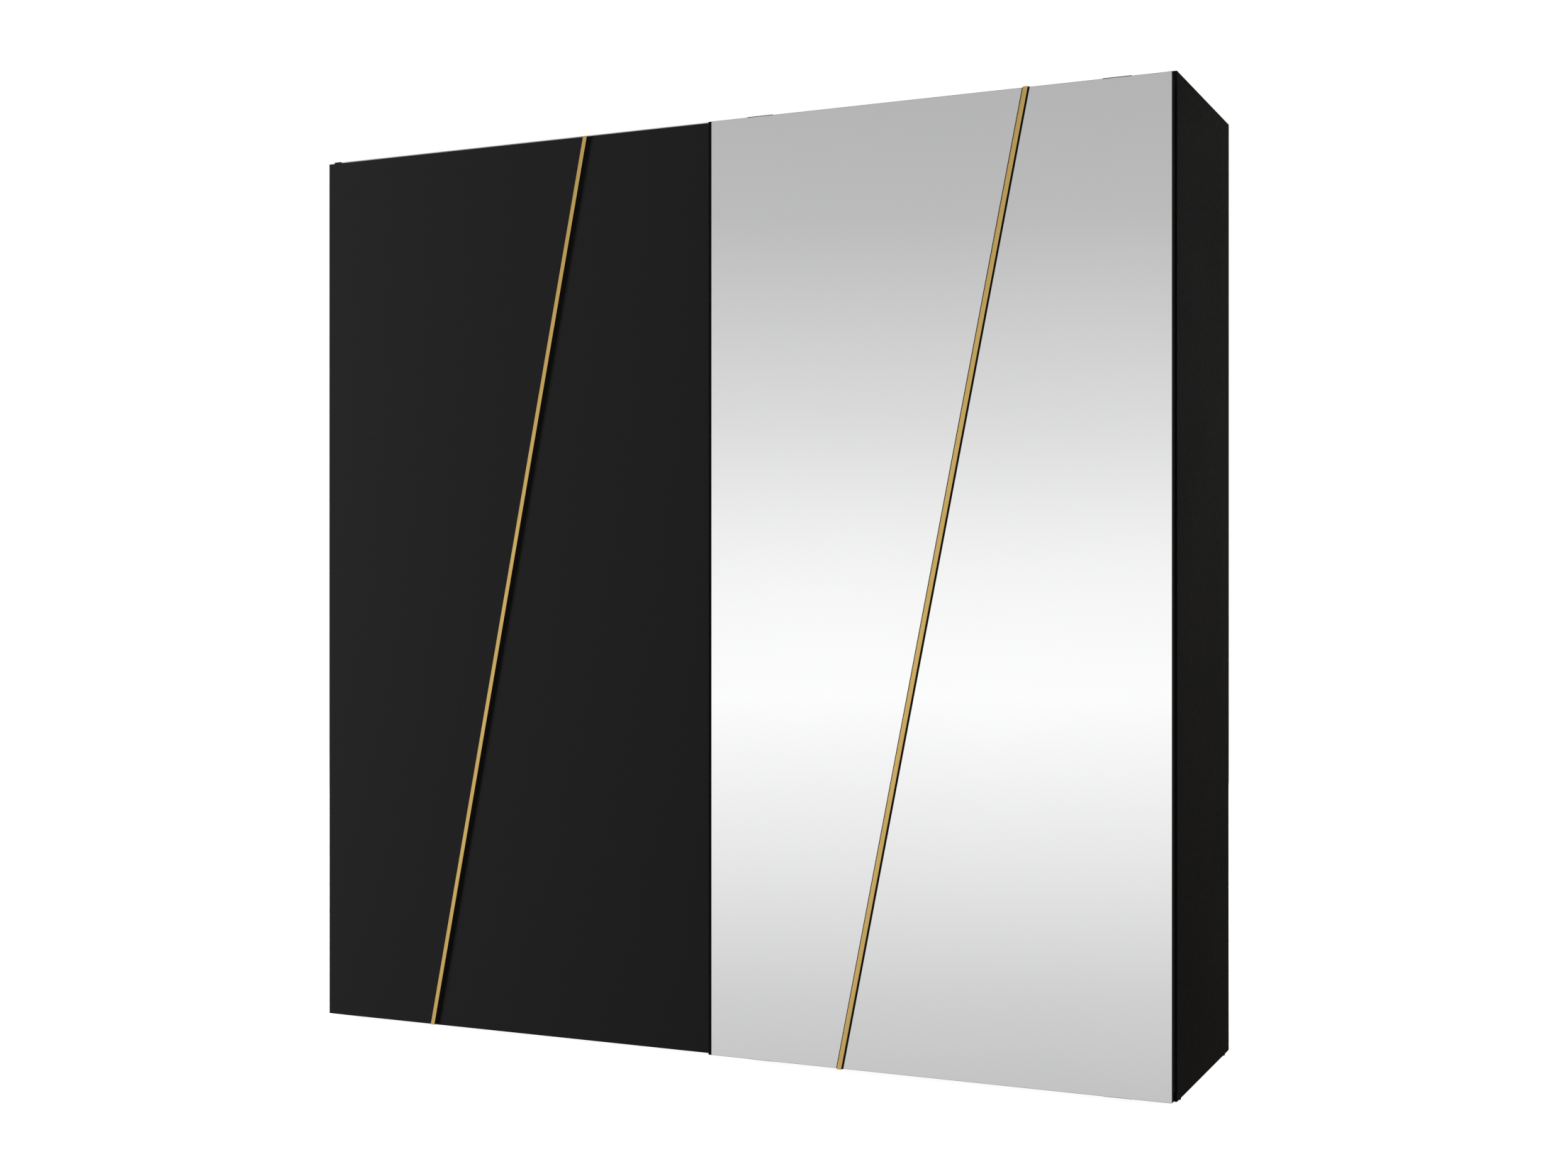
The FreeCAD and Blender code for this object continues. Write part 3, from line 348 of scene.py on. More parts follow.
def brushed_gold(name, colour, tilt):
    """Gold anodising over metal that was brushed along the strip."""
    finish = Finish(name, colour, 0.34, metallic=1.0)
    finish.mottle(finish.noise(500.0, spread=(1, 1, 0.012), tilt=tilt), 0.06)
    finish.vary_roughness(finish.noise(900.0, spread=(1, 1, 0.01), tilt=tilt), 0.28, 0.42)
    finish.relief(finish.noise(2200.0, spread=(1, 1, 0.008), tilt=tilt), 0.12, 0.00002)
    return finish.material


def powder_coat(name, colour, roughness=0.5):
    """Black coating with a slight orange peel."""
    finish = Finish(name, colour, roughness, specular=0.2)
    finish.mottle(finish.noise(30.0), 0.10)
    finish.vary_roughness(finish.noise(250.0), roughness - 0.06, roughness + 0.06)
    finish.relief(finish.noise(800.0), 0.3, 0.00006)
    return finish.material


def extruded_aluminium(name, colour):
    """Anodised extrusion with die lines along the rail."""
    finish = Finish(name, colour, 0.34, metallic=1.0)
    finish.mottle(finish.noise(350.0, spread=(0.01, 1, 1)), 0.05)
    finish.vary_roughness(finish.noise(700.0, spread=(0.008, 1, 1)), 0.26, 0.42)
    finish.relief(finish.noise(1500.0, spread=(0.006, 1, 1)), 0.15, 0.00002)
    return finish.material


def zinc_plate(name, colour):
    """Bright zinc plating, a little cloudy."""
    finish = Finish(name, colour, 0.30, metallic=1.0)
    finish.mottle(finish.noise(220.0), 0.10)
    finish.vary_roughness(finish.noise(500.0), 0.22, 0.40)
    finish.relief(finish.noise(1600.0), 0.12, 0.00002)
    return finish.material


def chrome_plate(name):
    """Polished chrome with the faintest polishing haze."""
    finish = Finish(name, (0.78, 0.79, 0.81), 0.08, metallic=1.0)
    finish.mottle(finish.noise(3.0), 0.02)
    finish.vary_roughness(finish.noise(120.0), 0.05, 0.12)
    return finish.material


def moulded_plastic(name, colour, roughness=0.45):
    """Moulded plastic with a spark-eroded skin."""
    finish = Finish(name, colour, roughness, specular=0.4)
    finish.mottle(finish.noise(40.0), 0.05)
    finish.vary_roughness(finish.noise(350.0), roughness - 0.06, roughness + 0.08)
    finish.relief(finish.noise(1800.0), 0.2, 0.00003)
    return finish.material


def soft_rubber(name, colour=(0.006, 0.006, 0.006)):
    """Black sealing rubber with a dull bloom."""
    finish = Finish(name, colour, 0.78, specular=0.12)
    finish.mottle(finish.noise(80.0), 0.2)
    finish.relief(finish.noise(1200.0), 0.3, 0.00005)
    return finish.material


def brush_pile(name):
    """Black polypropylene pile."""
    finish = Finish(name, (0.010, 0.010, 0.010), 0.8, specular=0.2)
    finish.set("Sheen Weight", 0.25)
    finish.mottle(finish.noise(600.0), 0.35)
    finish.relief(finish.noise(2500.0, spread=(1, 0.2, 1)), 0.5, 0.0001)
    return finish.material


def studio_floor(name, glow):
    """A plain pale floor that glows, so that no shadow darkens it."""
    finish = Finish(name, (0.90, 0.90, 0.90), 0.9, specular=0.1)
    finish.mottle(finish.noise(0.7), 0.004)
    finish.set("Emission Color", (1, 1, 1, 1))
    finish.set("Emission Strength", glow)
    return finish.material


def strip_tilt():
    """The angle of the diagonal strips from upright, read from a strip's own box."""
    low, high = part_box("left_door_gold_strip")
    return math.atan((high.x - low.x) / (high.z - low.z))


def shared(name):
    """One of the wardrobe's finishes, made when it is first asked for."""
    material = bpy.data.materials.get(name)
    if material is None:
        material = MAKERS[name](name)
    return material


MAKERS = {
    "black_melamine": lambda name: melamine(name, finishes().carcass_black),
    "inner_melamine": lambda name: melamine(name, finishes().inner_board, 0.48, 0.3),
    "black_lacquer": lambda name: matte_lacquer(name, finishes().door_black),
    "raw_hardboard": lambda name: raw_fibreboard(name, finishes().raw_back),
    "mirror_silver": lambda name: silvered_glass(name, finishes().silver),
    "mirror_edge": ground_glass,
    "gold_anodised": lambda name: brushed_gold(name, finishes().gold, strip_tilt()),
    "black_profile_coat": lambda name: powder_coat(name, finishes().profile_black, 0.6),
    "black_steel_coat": lambda name: powder_coat(name, finishes().profile_black, 0.5),
    "rail_metal": lambda name: extruded_aluminium(name, finishes().aluminium),
    "zinc_metal": lambda name: zinc_plate(name, finishes().zinc),
    "chrome_metal": chrome_plate,
    "nylon_moulding": lambda name: moulded_plastic(name, finishes().nylon),
    "black_moulding": lambda name: moulded_plastic(name, (0.012, 0.012, 0.012)),
    "grey_casting": lambda name: moulded_plastic(name, (0.30, 0.30, 0.31), 0.35),
    "seal_black": soft_rubber,
    "pile_black": brush_pile,
}


# ---------------------------------------------------------------- modelling helpers

def deselect_all():
    for other in bpy.context.selected_objects:
        other.select_set(False)


def select_only(piece):
    deselect_all()
    piece.select_set(True)
    bpy.context.view_layer.objects.active = piece


def welded_copy(node, name):
    """A copy of a CAD node's mesh, welded and free of its triangles' inner edges."""
    piece = bpy.data.objects.new(name, frame["nodes"][node].data.copy())
    bpy.context.scene.collection.objects.link(piece)
    select_only(piece)
    bpy.ops.mesh.customdata_custom_splitnormals_clear()
    bpy.ops.object.mode_set(mode="EDIT")
    bpy.ops.mesh.select_all(action="SELECT")
    bpy.ops.mesh.remove_doubles(threshold=MERGE_DISTANCE)
    bpy.ops.mesh.dissolve_limited(angle_limit=FLAT_ANGLE)
    bpy.ops.object.mode_set(mode="OBJECT")
    return piece


def block(name, low, high):
    """A cube primitive made to two corners, with its place in its mesh."""
    deselect_all()
    bpy.ops.mesh.primitive_cube_add(size=1, location=(low + high) / 2, scale=high - low)
    piece = bpy.context.object
    piece.name = name
    bpy.ops.object.transform_apply(location=True, rotation=True, scale=True)
    return piece


def apply_modifier(piece, modifier):
    select_only(piece)
    bpy.ops.object.modifier_apply(modifier=modifier.name)


def round_edges(piece, width, segments=None):
    """Round every sharp edge."""
    bevel = piece.modifiers.new("Rounded edges", "BEVEL")
    bevel.width = width
    bevel.segments = segments or detail().segments
    bevel.limit_method = "ANGLE"
    bevel.angle_limit = SHARP_ANGLE
    apply_modifier(piece, bevel)
    smooth(piece)


def smooth(piece):
    """Shade the rounded edges smooth and keep the broad faces flat."""
    select_only(piece)
    bpy.ops.object.shade_smooth_by_angle(angle=SMOOTH_ANGLE)
    weighting = piece.modifiers.new("Flat faces", "WEIGHTED_NORMAL")
    weighting.keep_sharp = True
    apply_modifier(piece, weighting)


def pick_faces(piece, wanted):
    """Enter edit mode with only the wanted faces selected."""
    select_only(piece)
    bpy.ops.object.mode_set(mode="EDIT")
    bpy.ops.mesh.select_mode(type="FACE")
    mesh = bmesh.from_edit_mesh(piece.data)
    for face in mesh.faces:
        face.select_set(wanted(face))
    bmesh.update_edit_mesh(piece.data)


def pick_edges(piece, wanted):
    """Enter edit mode with only the wanted edges selected."""
    select_only(piece)
    bpy.ops.object.mode_set(mode="EDIT")
    bpy.ops.mesh.select_mode(type="EDGE")
    bpy.ops.mesh.select_all(action="DESELECT")
    mesh = bmesh.from_edit_mesh(piece.data)
    for edge in mesh.edges:
        edge.select_set(wanted(edge))
    mesh.select_flush_mode()
    bmesh.update_edit_mesh(piece.data)


def settle(piece, node, finish, replace=True):
    """Give a finished piece its material and its body, and hide the CAD node that it stands for when
    asked to replace it.
    """
    piece.data.materials.clear()
    piece.data.materials.append(shared(finish))
    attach(piece, BODY_OF[node])
    if replace:
        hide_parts(node)
    return piece


def second_finish(piece, finish, wanted):
    """Give the faces that are wanted another finish."""
    piece.data.materials.append(shared(finish))
    for face in piece.data.polygons:
        if wanted(face):
            face.material_index = len(piece.data.materials) - 1


def banded_board(node):
    """A board with rounded edges and the fine joint line of its edge bands on both faces."""
    low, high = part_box(node)
    piece = block(node.replace("_", "-") + "-board", low, high)
    sizes = detail()
    select_only(piece)
    bpy.ops.object.mode_set(mode="EDIT")
    bpy.ops.mesh.select_all(action="SELECT")
    bpy.ops.mesh.bevel(offset=sizes.board_edge, segments=sizes.segments, affect="EDGES")
    bpy.ops.object.mode_set(mode="OBJECT")
    nearly_largest = 0.9 * max(face.area for face in piece.data.polygons)
    pick_faces(piece, lambda face: face.calc_area() > nearly_largest)
    groove = sizes.band_groove
    for thickness, depth in ((sizes.band_inset, 0.0), (groove, -groove), (groove, groove)):
        bpy.ops.mesh.inset(thickness=thickness, depth=depth, use_boundary=True)
    bpy.ops.object.mode_set(mode="OBJECT")
    smooth(piece)
    return piece


# ---------------------------------------------------------------- carcass

class WARDROBE_OT_carcass_boards(bpy.types.Operator):
    """Melamine boards of the carcass, the shelves, the partition and the divider"""

    bl_idname = "wardrobe.carcass_boards"
    bl_label = "Carcass boards"

    def execute(self, context):
        for node in CARCASS_BOARDS:
            settle(banded_board(node), node, "black_melamine")
        for node in INNER_BOARDS:
            settle(banded_board(node), node, "inner_melamine")
        return {"FINISHED"}


class WARDROBE_OT_back(bpy.types.Operator):
    """Fibreboard back sheets, raw brown behind and coated inside, and the strips that join them"""

    bl_idname = "wardrobe.back"
    bl_label = "Back"

    def execute(self, context):
        for node in BACK_SHEETS:
            piece = welded_copy(node, node.replace("_", "-") + "-sheet")
            round_edges(piece, detail().fitting_edge, segments=2)
            settle(piece, node, "inner_melamine")
            second_finish(piece, "raw_hardboard", lambda face: face.normal.y > 0.5)
        piece = welded_copy("back_joining_strips", "back-joining-profiles")
        round_edges(piece, detail().metal_edge, segments=2)
        settle(piece, "back_joining_strips", "black_moulding")
        return {"FINISHED"}


# ---------------------------------------------------------------- doors

class WARDROBE_OT_door_leaves(bpy.types.Operator):
    """The two door boards and their edge bands"""

    bl_idname = "wardrobe.door_leaves"
    bl_label = "Door leaves"

    def execute(self, context):
        for door, finish in zip(DOORS, ("black_lacquer", "black_melamine")):
            for part in ("board", "edge_bands"):
                node = f"{door}_{part}"
                piece = welded_copy(node, node.replace("_", "-") + "-finished")
                if part == "edge_bands":
                    round_edges(piece, detail().door_band_edge, segments=2)
                else:
                    smooth(piece)
                settle(piece, node, finish)
        return {"FINISHED"}


class WARDROBE_OT_mirror_panes(bpy.types.Operator):
    """The silvered panes either side of the diagonal, with polished green edges"""

    bl_idname = "wardrobe.mirror_panes"
    bl_label = "Mirror panes"

    def execute(self, context):
        for side in SIDES:
            node = f"mirror_pane_{side}"
            piece = welded_copy(node, f"mirror-pane-{side}-glass")
            front = min(vertex.co.y for vertex in piece.data.vertices) + MERGE_DISTANCE
            pick_edges(piece, lambda edge: all(vertex.co.y < front for vertex in edge.verts))
            bpy.ops.mesh.bevel(offset=detail().glass_edge, segments=1, affect="EDGES")
            bpy.ops.object.mode_set(mode="OBJECT")
            settle(piece, node, "mirror_silver")
            second_finish(piece, "mirror_edge", lambda face: abs(face.normal.y) < 0.5)
        return {"FINISHED"}


class WARDROBE_OT_diagonal_strips(bpy.types.Operator):
    """The brushed gold strips and the black carriers that hold them"""

    bl_idname = "wardrobe.diagonal_strips"
    bl_label = "Diagonal strips"

    def execute(self, context):
        for door in DOORS:
            node = f"{door}_gold_strip"
            piece = welded_copy(node, f"{door.replace('_', '-')}-gold-facing")
            round_edges(piece, detail().strip_edge)
            settle(piece, node, "gold_anodised")
            node = f"{door}_strip_carrier"
            piece = welded_copy(node, f"{door.replace('_', '-')}-carrier-profile")
            round_edges(piece, detail().metal_edge, segments=2)
            settle(piece, node, "black_profile_coat")
        return {"FINISHED"}


class WARDROBE_OT_edge_seal(bpy.types.Operator):
    """The rubber seal along the mirror's leading edge, with a shallow channel down its face"""

    bl_idname = "wardrobe.edge_seal"
    bl_label = "Edge seal"

    # Shares of the seal's width.
    lip = 0.28
    channel_slope = 0.10
    channel_depth = 0.12
    rounding = 0.09

    def execute(self, context):
        node = "mirror_door_edge_seal"
        low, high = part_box(node)
        piece = block("mirror-leading-edge-seal", low, high)
        width = high.x - low.x
        pick_faces(piece, lambda face: face.normal.y < -0.5)
        bpy.ops.mesh.inset(thickness=width * self.lip, depth=0.0)
        bpy.ops.mesh.inset(thickness=width * self.channel_slope, depth=-width * self.channel_depth)
        bpy.ops.object.mode_set(mode="OBJECT")
        round_edges(piece, width * self.rounding)
        settle(piece, node, "seal_black")
        return {"FINISHED"}


# ---------------------------------------------------------------- rails and running gear

class WARDROBE_OT_rails(bpy.types.Operator):
    """The double top rail and the double bottom rail"""

    bl_idname = "wardrobe.rails"
    bl_label = "Rails"

    def execute(self, context):
        for node in ("top_rail", "bottom_rail"):
            piece = welded_copy(node, node.replace("_", "-") + "-extrusion")
            round_edges(piece, detail().metal_edge, segments=2)
            settle(piece, node, "rail_metal")
        return {"FINISHED"}


class WARDROBE_OT_brackets(bpy.types.Operator):
    """Hangers and guides: pressed steel with rounded bends"""

    bl_idname = "wardrobe.brackets"
    bl_label = "Hangers and guides"

    def execute(self, context):
        for door in DOORS:
            for part in ("hanger", "guide"):
                for side in SIDES:
                    node = f"{door}_{part}_{side}"
                    piece = welded_copy(node, node.replace("_", "-") + "-pressing")
                    round_bends(piece)
                    round_edges(piece, detail().metal_edge, segments=2)
                    settle(piece, node, "black_steel_coat")
        piece = welded_copy("wall_brackets", "wall-bracket-angles")
        round_bends(piece)
        round_edges(piece, detail().metal_edge, segments=2)
        settle(piece, "wall_brackets", "zinc_metal")
        return {"FINISHED"}


NARROWEST_FLANGE = 0.0045
SHORTEST_BEND = 0.02
NEARLY_ALONG = 0.9
NEARLY_SQUARE = 0.1


def round_bends(piece):
    """Round the edges along X where two broad faces meet: they are the bends of the sheet."""

    def is_bend(edge):
        along = edge.verts[1].co - edge.verts[0].co
        if len(edge.link_faces) != 2 or along.length < SHORTEST_BEND:
            return False
        if abs(along.x) < NEARLY_ALONG * along.length:
            return False
        first, second = edge.link_faces
        narrower = min(face.calc_area() for face in (first, second)) / along.length
        return abs(first.normal.dot(second.normal)) < NEARLY_SQUARE and narrower > NARROWEST_FLANGE

    pick_edges(piece, is_bend)
    if any(edge.select for edge in bmesh.from_edit_mesh(piece.data).edges):
        bpy.ops.mesh.bevel(offset=detail().bend_width, segments=4, affect="EDGES")
    bpy.ops.object.mode_set(mode="OBJECT")


class WARDROBE_OT_rollers(bpy.types.Operator):
    """Grooved nylon rollers, each around a steel bearing"""

    bl_idname = "wardrobe.rollers"
    bl_label = "Rollers"

    def execute(self, context):
        for door in DOORS:
            for side in SIDES:
                node = f"{door}_roller_{side}"
                piece = welded_copy(node, node.replace("_", "-") + "-tyre")
                round_edges(piece, detail().fitting_edge, segments=2)
                settle(piece, node, "nylon_moulding")
                settle(bearing(node), node, "zinc_metal", replace=False)
            node = f"{door}_guide_shoes"
            piece = welded_copy(node, f"{door.replace('_', '-')}-guide-blocks")
            round_edges(piece, detail().shoe_edge)
            settle(piece, node, "nylon_moulding")
            node = f"{door}_roller_axles"
            piece = welded_copy(node, f"{door.replace('_', '-')}-axle-bolts")
            round_edges(piece, detail().metal_edge, segments=2)
            settle(piece, node, "zinc_metal")
        return {"FINISHED"}


# Steps from the bearing's outside to its bore, as shares of its wall: width and height of each.
BEARING_FACE = ((0.3, 0.0), (0.06, -0.03), (0.28, 0.0), (0.06, 0.03), (0.3, 0.0))


def bearing(node):
    """A ring through the roller that shows a little at both faces, with a groove in each face."""
    sizes = detail()
    low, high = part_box(node)
    centre = (low + high) / 2
    deselect_all()
    bpy.ops.mesh.primitive_cylinder_add(
        vertices=48, radius=sizes.bearing_radius, depth=high.y - low.y + 2 * sizes.bearing_stand,
        location=centre, rotation=(math.radians(90), 0, 0))
    piece = bpy.context.object
    piece.name = node.replace("_", "-") + "-bearing"
    bpy.ops.object.transform_apply(location=True, rotation=True, scale=True)
    pick_faces(piece, lambda face: abs(face.normal.y) > 0.9)
    wall = sizes.bearing_radius - sizes.bearing_bore
    for thickness, depth in BEARING_FACE:
        bpy.ops.mesh.inset(thickness=wall * thickness, depth=wall * depth)
    bpy.ops.mesh.bridge_edge_loops()
    bpy.ops.object.mode_set(mode="OBJECT")
    smooth(piece)
    return piece


# ---------------------------------------------------------------- screws and small fittings

def loose_solids(piece):
    """The corners of each separate solid in a piece."""
    mesh = bmesh.new()
    mesh.from_mesh(piece.data)
    left = set(mesh.verts)
    solids = []
    while left:
        front = [left.pop()]
        found = list(front)
        while front:
            vertex = front.pop()
            for edge in vertex.link_edges:
                other = edge.other_vert(vertex)
                if other in left:
                    left.remove(other)
                    front.append(other)
                    found.append(other)
        solids.append([vertex.co.copy() for vertex in found])
    mesh.free()
    return solids


def head_of(points):
    """The middle of the head's face on a screw or cam, and the direction from it into the body.

    The head is at the wider end, or, where both ends are as wide, at the end nearer the outside."""
    low = Vector(min(point[axis] for point in points) for axis in range(3))
    high = Vector(max(point[axis] for point in points) for axis in range(3))
    middle = (low + high) / 2
    span = high - low
    axis = min(range(3), key=lambda number: abs(span[number - 1] - span[number - 2]))

    def reach(end):
        """Square of the end face's radius."""
        arms = [point - middle for point in points if abs(point[axis] - end[axis]) < MERGE_DISTANCE]
        return max(arm.dot(arm) - arm[axis] ** 2 for arm in arms)

    inside = (CAD_BOX[0] + CAD_BOX[1]) / 2
    ends = ((low, 1), (high, -1))
    outer, sign = max(ends, key=lambda end: (round(reach(end[0]), 9), abs(end[0][axis] - inside[axis])))
    direction = Vector((0, 0, 0))
    direction[axis] = sign
    face = middle.copy()
    face[axis] = outer[axis]
    return face, direction


def cut_recesses(piece, axes="XYZ"):
    """Cut a cross recess in the head of each screw or cam that points along one of the axes."""
    sizes = detail()
    cutters = []
    for points in loose_solids(piece):
        face, inward = head_of(points)
        axis = max(range(3), key=lambda number: abs(inward[number]))
        if "XYZ"[axis] not in axes:
            continue
        for arm in [number for number in range(3) if number != axis]:
            half = Vector((sizes.recess_width / 2,) * 3)
            half[arm] = sizes.recess_length / 2
            half[axis] = sizes.recess_depth
            cutters.append(block("recess", face - half, face + half))
    deselect_all()
    for cutter in cutters:
        cutter.select_set(True)
    bpy.context.view_layer.objects.active = cutters[0]
    bpy.ops.object.join()
    tool = bpy.context.object
    carve = piece.modifiers.new("Recess", "BOOLEAN")
    carve.operation = "DIFFERENCE"
    carve.object = tool
    carve.solver = "EXACT"
    carve.use_self = True
    apply_modifier(piece, carve)
    bpy.data.objects.remove(tool)


class WARDROBE_OT_screws(bpy.types.Operator):
    """Screws with a cross recess in each head"""

    bl_idname = "wardrobe.screws"
    bl_label = "Screws"

    def execute(self, context):
        door_screws = [f"{door}_bracket_screws" for door in DOORS]
        for node in ("rail_screws", "carcass_screws", *door_screws):
            piece = welded_copy(node, node.replace("_", "-") + "-recessed")
            cut_recesses(piece)
            smooth(piece)
            settle(piece, node, "zinc_metal")
        return {"FINISHED"}


class WARDROBE_OT_dust_brushes(bpy.types.Operator):
    """A row of tufts on a holder down the front edge of each side panel"""

    bl_idname = "wardrobe.dust_brushes"
    bl_label = "Dust brushes"

    def execute(self, context):
        node = "dust_brushes"
        sizes = detail()
        panels = [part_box(f"side_panel_{side}") for side in SIDES]
        low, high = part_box(node)
        middles = [(panel_low.x + panel_high.x) / 2 for panel_low, panel_high in panels]
        half_width = high.x - middles[1]
        for side, middle in zip(SIDES, middles):
            base_low = Vector((middle - half_width, high.y - sizes.brush_base, low.z))
            base_high = Vector((middle + half_width, high.y, high.z))
            holder = block(f"brush-holder-{side}", base_low, base_high)
            round_edges(holder, sizes.fitting_edge, segments=2)
            settle(holder, node, "black_moulding", replace=side == SIDES[0])
            pile = tufts(f"brush-pile-{side}", middle, low, base_low.y, high.z)
            settle(pile, node, "pile_black", replace=False)
        return {"FINISHED"}


# Half the height of a tuft's root as a share of the pitch, and how much higher its tip is.
TUFT_HALF = 0.32
TUFT_SPLAY = 1.6


def tufts(name, middle, low, root, top):
    """One tuft, splayed at its tip, repeated up the brush."""
    sizes = detail()
    half = sizes.tuft_width / 2
    half_height = sizes.tuft_pitch * TUFT_HALF
    piece = block(name, Vector((middle - half, low.y, low.z + half_height)),
                  Vector((middle + half, root, low.z + 3 * half_height)))
    pick_faces(piece, lambda face: face.normal.y < -0.5)
    bpy.ops.transform.resize(value=(1.0, 1.0, TUFT_SPLAY))
    bpy.ops.object.mode_set(mode="OBJECT")
    row = piece.modifiers.new("Row of tufts", "ARRAY")
    row.use_relative_offset = False
    row.use_constant_offset = True
    row.constant_offset_displace = (0, 0, sizes.tuft_pitch)
    row.count = int((top - low.z - 4 * half_height) / sizes.tuft_pitch)
    apply_modifier(piece, row)
    return piece


class WARDROBE_OT_fittings(bpy.types.Operator):
    """Floor glides, shelf pins, cams, end stops, clothes rails and their sockets"""

    bl_idname = "wardrobe.fittings"
    bl_label = "Fittings"

    finish_of = {
        "floor_glides": "black_moulding",
        "shelf_pins": "zinc_metal",
        "cam_fittings": "zinc_metal",
        "rail_end_stops": "black_moulding",
        "clothes_rail_left": "chrome_metal",
        "clothes_rail_right": "chrome_metal",
        "clothes_rail_sockets": "grey_casting",
    }

    def execute(self, context):
        for node, finish in self.finish_of.items():
            piece = welded_copy(node, node.replace("_", "-") + "-finished")
            round_edges(piece, detail().fitting_edge, segments=2)
            if node == "cam_fittings":
                cut_recesses(piece, axes="Z")
            settle(piece, node, finish)
        return {"FINISHED"}


# ---------------------------------------------------------------- stage

# The upward part of a direction, and how bright the studio is there.
SURROUNDINGS = (
    (-0.50, 0.46), (-0.25, 0.55), (-0.198, 0.645), (-0.129, 0.835), (-0.05, 1.02), (0.0, 0.965),
    (0.03, 0.90), (0.084, 0.745), (0.188, 0.517), (0.25, 0.475), (0.50, 0.44),
)
# Shares of that brightness on dull faces and behind the wardrobe, and where behind is reached.
DIFFUSE_SHARE = 0.2
BEHIND_SHARE = 0.2
BEHIND_FROM = 0.4
# Each soft light's name, its place from the wardrobe's middle and its side.
LIGHTS = (
    ("overhead", (-1.5, -1.5, 5.0), 7.0),
    ("raking", (-6.0, -2.1, 0.4), 1.2),
    ("right", (6.0, 1.2, 0.4), 3.0),
    ("rear", (1.5, 6.0, 1.5), 4.0),
)


def make_surroundings(strength):
    """A pale studio: brightest at eye level, greyer above and below, as a mirror shows it.

    It is dimmer behind the wardrobe and lights dull faces less; the camera sees it plain white."""
    world = bpy.data.worlds.new("Studio")
    bpy.context.scene.world = world
    world.use_nodes = True
    nodes = world.node_tree.nodes
    links = world.node_tree.links
    nodes.clear()
    coordinates = nodes.new("ShaderNodeTexCoord")
    split = nodes.new("ShaderNodeSeparateXYZ")
    spread = nodes.new("ShaderNodeMapRange")
    spread.inputs["From Min"].default_value = SURROUNDINGS[0][0]
    spread.inputs["From Max"].default_value = SURROUNDINGS[-1][0]
    ramp = nodes.new("ShaderNodeValToRGB")
    elements = ramp.color_ramp.elements
    span = SURROUNDINGS[-1][0] - SURROUNDINGS[0][0]
    while len(elements) < len(SURROUNDINGS):
        elements.new(0.5)
    for element, (height, grey) in zip(elements, SURROUNDINGS):
        element.position = (height - SURROUNDINGS[0][0]) / span
        element.color = (grey, grey, grey, 1)
    behind = nodes.new("ShaderNodeMapRange")
    behind.inputs["From Max"].default_value = BEHIND_FROM
    behind.inputs["To Min"].default_value = strength
    behind.inputs["To Max"].default_value = strength * BEHIND_SHARE
    path = nodes.new("ShaderNodeLightPath")
    reflected = nodes.new("ShaderNodeMath")
    reflected.operation = "MAXIMUM"
    reflected.inputs[0].default_value = DIFFUSE_SHARE
    dimmed = nodes.new("ShaderNodeMath")
    dimmed.operation = "MULTIPLY"
    walls = nodes.new("ShaderNodeBackground")
    plain = nodes.new("ShaderNodeBackground")
    plain.inputs["Color"].default_value = (1, 1, 1, 1)
    mix = nodes.new("ShaderNodeMixShader")
    output = nodes.new("ShaderNodeOutputWorld")
    for start, end in (
        (coordinates.outputs["Generated"], split.inputs["Vector"]),
        (split.outputs["Z"], spread.inputs["Value"]),
        (split.outputs["Y"], behind.inputs["Value"]),
        (spread.outputs["Result"], ramp.inputs["Fac"]),
        (ramp.outputs["Color"], walls.inputs["Color"]),
        (path.outputs["Is Glossy Ray"], reflected.inputs[1]),
        (reflected.outputs["Value"], dimmed.inputs[0]),
        (behind.outputs["Result"], dimmed.inputs[1]),
        (dimmed.outputs["Value"], walls.inputs["Strength"]),
        (path.outputs["Is Camera Ray"], mix.inputs["Fac"]),
        (walls.outputs["Background"], mix.inputs[1]),
        (plain.outputs["Background"], mix.inputs[2]),
        (mix.outputs["Shader"], output.inputs["Surface"]),
    ):
        links.new(start, end)


def soft_light(name, place, target, size, power):
    """A large square light that mirrors and glossy faces don't show."""
    data = bpy.data.lights.new(name, "AREA")
    data.shape = "SQUARE"
    data.size = size
    data.energy = power
    lamp = bpy.data.objects.new(name, data)
    lamp.location = place
    lamp.rotation_euler = (target - place).to_track_quat("-Z", "Y").to_euler()
    lamp.visible_glossy = False
    bpy.context.scene.collection.objects.link(lamp)


class WARDROBE_OT_stage(bpy.types.Operator):
    """The floor, the studio's soft light and the camera"""

    bl_idname = "wardrobe.stage"
    bl_label = "Stage"

    def execute(self, context):
        scene = context.scene
        stage = scene.wardrobe_stage
        deselect_all()
        bpy.ops.mesh.primitive_plane_add(size=stage.floor_size, location=(0, 0, 0))
        floor = context.object
        floor.name = "studio-floor"
        floor.data.materials.append(studio_floor("studio_floor_paint", stage.floor_glow))
        floor.visible_glossy = False
        floor.visible_diffuse = False
        make_surroundings(stage.sky_strength)
        middle = (CAD_BOX[0] + CAD_BOX[1]) / 2
        for name, offset, size in LIGHTS:
            soft_light(name, middle + Vector(offset), middle, size, getattr(stage, f"{name}_power"))
        camera = bpy.data.objects.new("camera", bpy.data.cameras.new("camera"))
        camera.location = stage.camera_place
        camera.rotation_euler = (math.radians(90), 0, stage.camera_azimuth)
        camera.data.lens = stage.lens
        camera.data.shift_x = stage.shift_x
        camera.data.shift_y = stage.shift_y
        scene.collection.objects.link(camera)
        scene.camera = camera
        scene.view_settings.view_transform = "Standard"
        return {"FINISHED"}


# ---------------------------------------------------------------- panel and registration

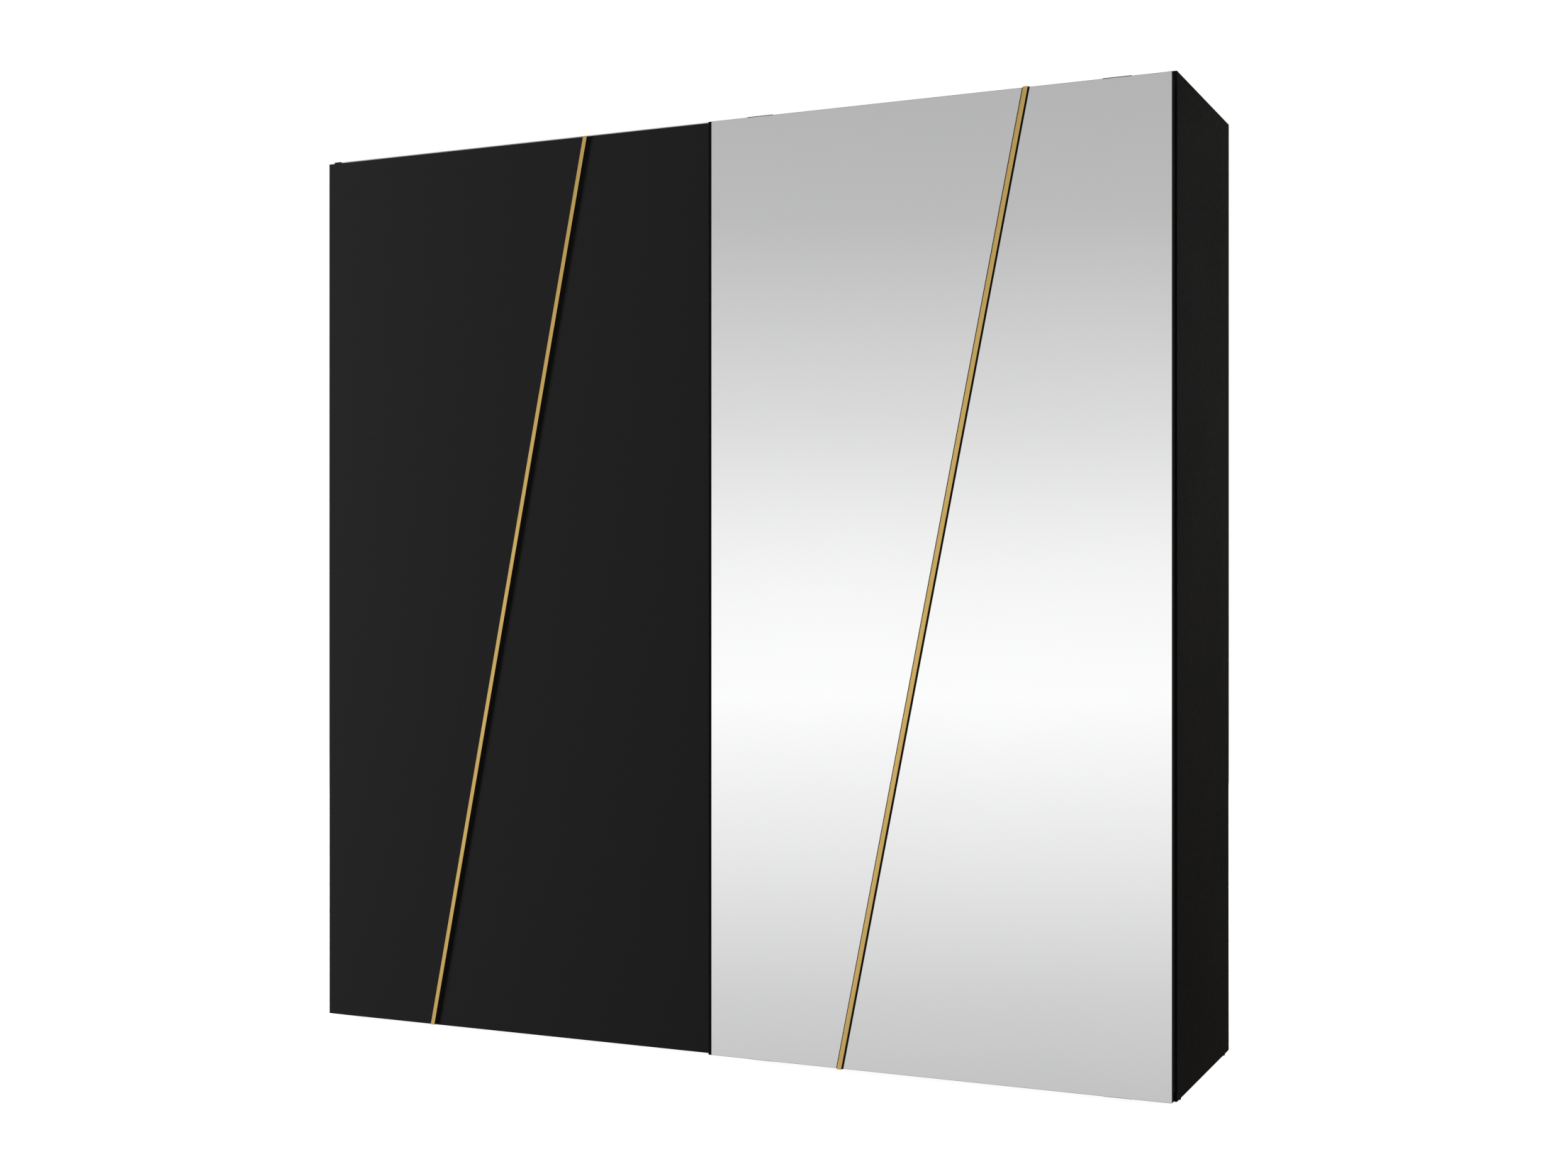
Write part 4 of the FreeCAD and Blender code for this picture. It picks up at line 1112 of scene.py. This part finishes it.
OPERATORS = (
    WARDROBE_OT_stage,
    WARDROBE_OT_carcass_boards,
    WARDROBE_OT_back,
    WARDROBE_OT_door_leaves,
    WARDROBE_OT_mirror_panes,
    WARDROBE_OT_diagonal_strips,
    WARDROBE_OT_edge_seal,
    WARDROBE_OT_rails,
    WARDROBE_OT_brackets,
    WARDROBE_OT_rollers,
    WARDROBE_OT_screws,
    WARDROBE_OT_dust_brushes,
    WARDROBE_OT_fittings,
)


class WARDROBE_PT_pieces(bpy.types.Panel):
    """Buttons for each group of pieces, and the settings that they read"""

    bl_idname = "WARDROBE_PT_pieces"
    bl_label = "Sliding Door Wardrobe"
    bl_space_type = "VIEW_3D"
    bl_region_type = "UI"
    bl_category = "Wardrobe"

    def draw(self, context):
        column = self.layout.column(align=True)
        for operator in OPERATORS:
            column.operator(operator.bl_idname)
        for group in (
            context.scene.wardrobe_finishes, context.scene.wardrobe_detail, context.scene.wardrobe_stage,
        ):
            box = self.layout.box()
            for name in group.bl_rna.properties.keys():
                if name not in ("rna_type", "name"):
                    box.prop(group, name)


CLASSES = (WardrobeFinishes, WardrobeDetail, WardrobeStage, *OPERATORS, WARDROBE_PT_pieces)


def register():
    for cls in CLASSES:
        bpy.utils.register_class(cls)
    bpy.types.Scene.wardrobe_finishes = PointerProperty(type=WardrobeFinishes)
    bpy.types.Scene.wardrobe_detail = PointerProperty(type=WardrobeDetail)
    bpy.types.Scene.wardrobe_stage = PointerProperty(type=WardrobeStage)


def unregister():
    del bpy.types.Scene.wardrobe_stage
    del bpy.types.Scene.wardrobe_detail
    del bpy.types.Scene.wardrobe_finishes
    for cls in reversed(CLASSES):
        bpy.utils.unregister_class(cls)


def main():
    """Register the add-on, then build the stage and every piece."""
    register()
    bpy.ops.wardrobe.stage()
    bpy.ops.wardrobe.carcass_boards()
    bpy.ops.wardrobe.back()
    bpy.ops.wardrobe.door_leaves()
    bpy.ops.wardrobe.mirror_panes()
    bpy.ops.wardrobe.diagonal_strips()
    bpy.ops.wardrobe.edge_seal()
    bpy.ops.wardrobe.rails()
    bpy.ops.wardrobe.brackets()
    bpy.ops.wardrobe.rollers()
    bpy.ops.wardrobe.screws()
    bpy.ops.wardrobe.dust_brushes()
    bpy.ops.wardrobe.fittings()


if __name__ == "__main__":
    main()
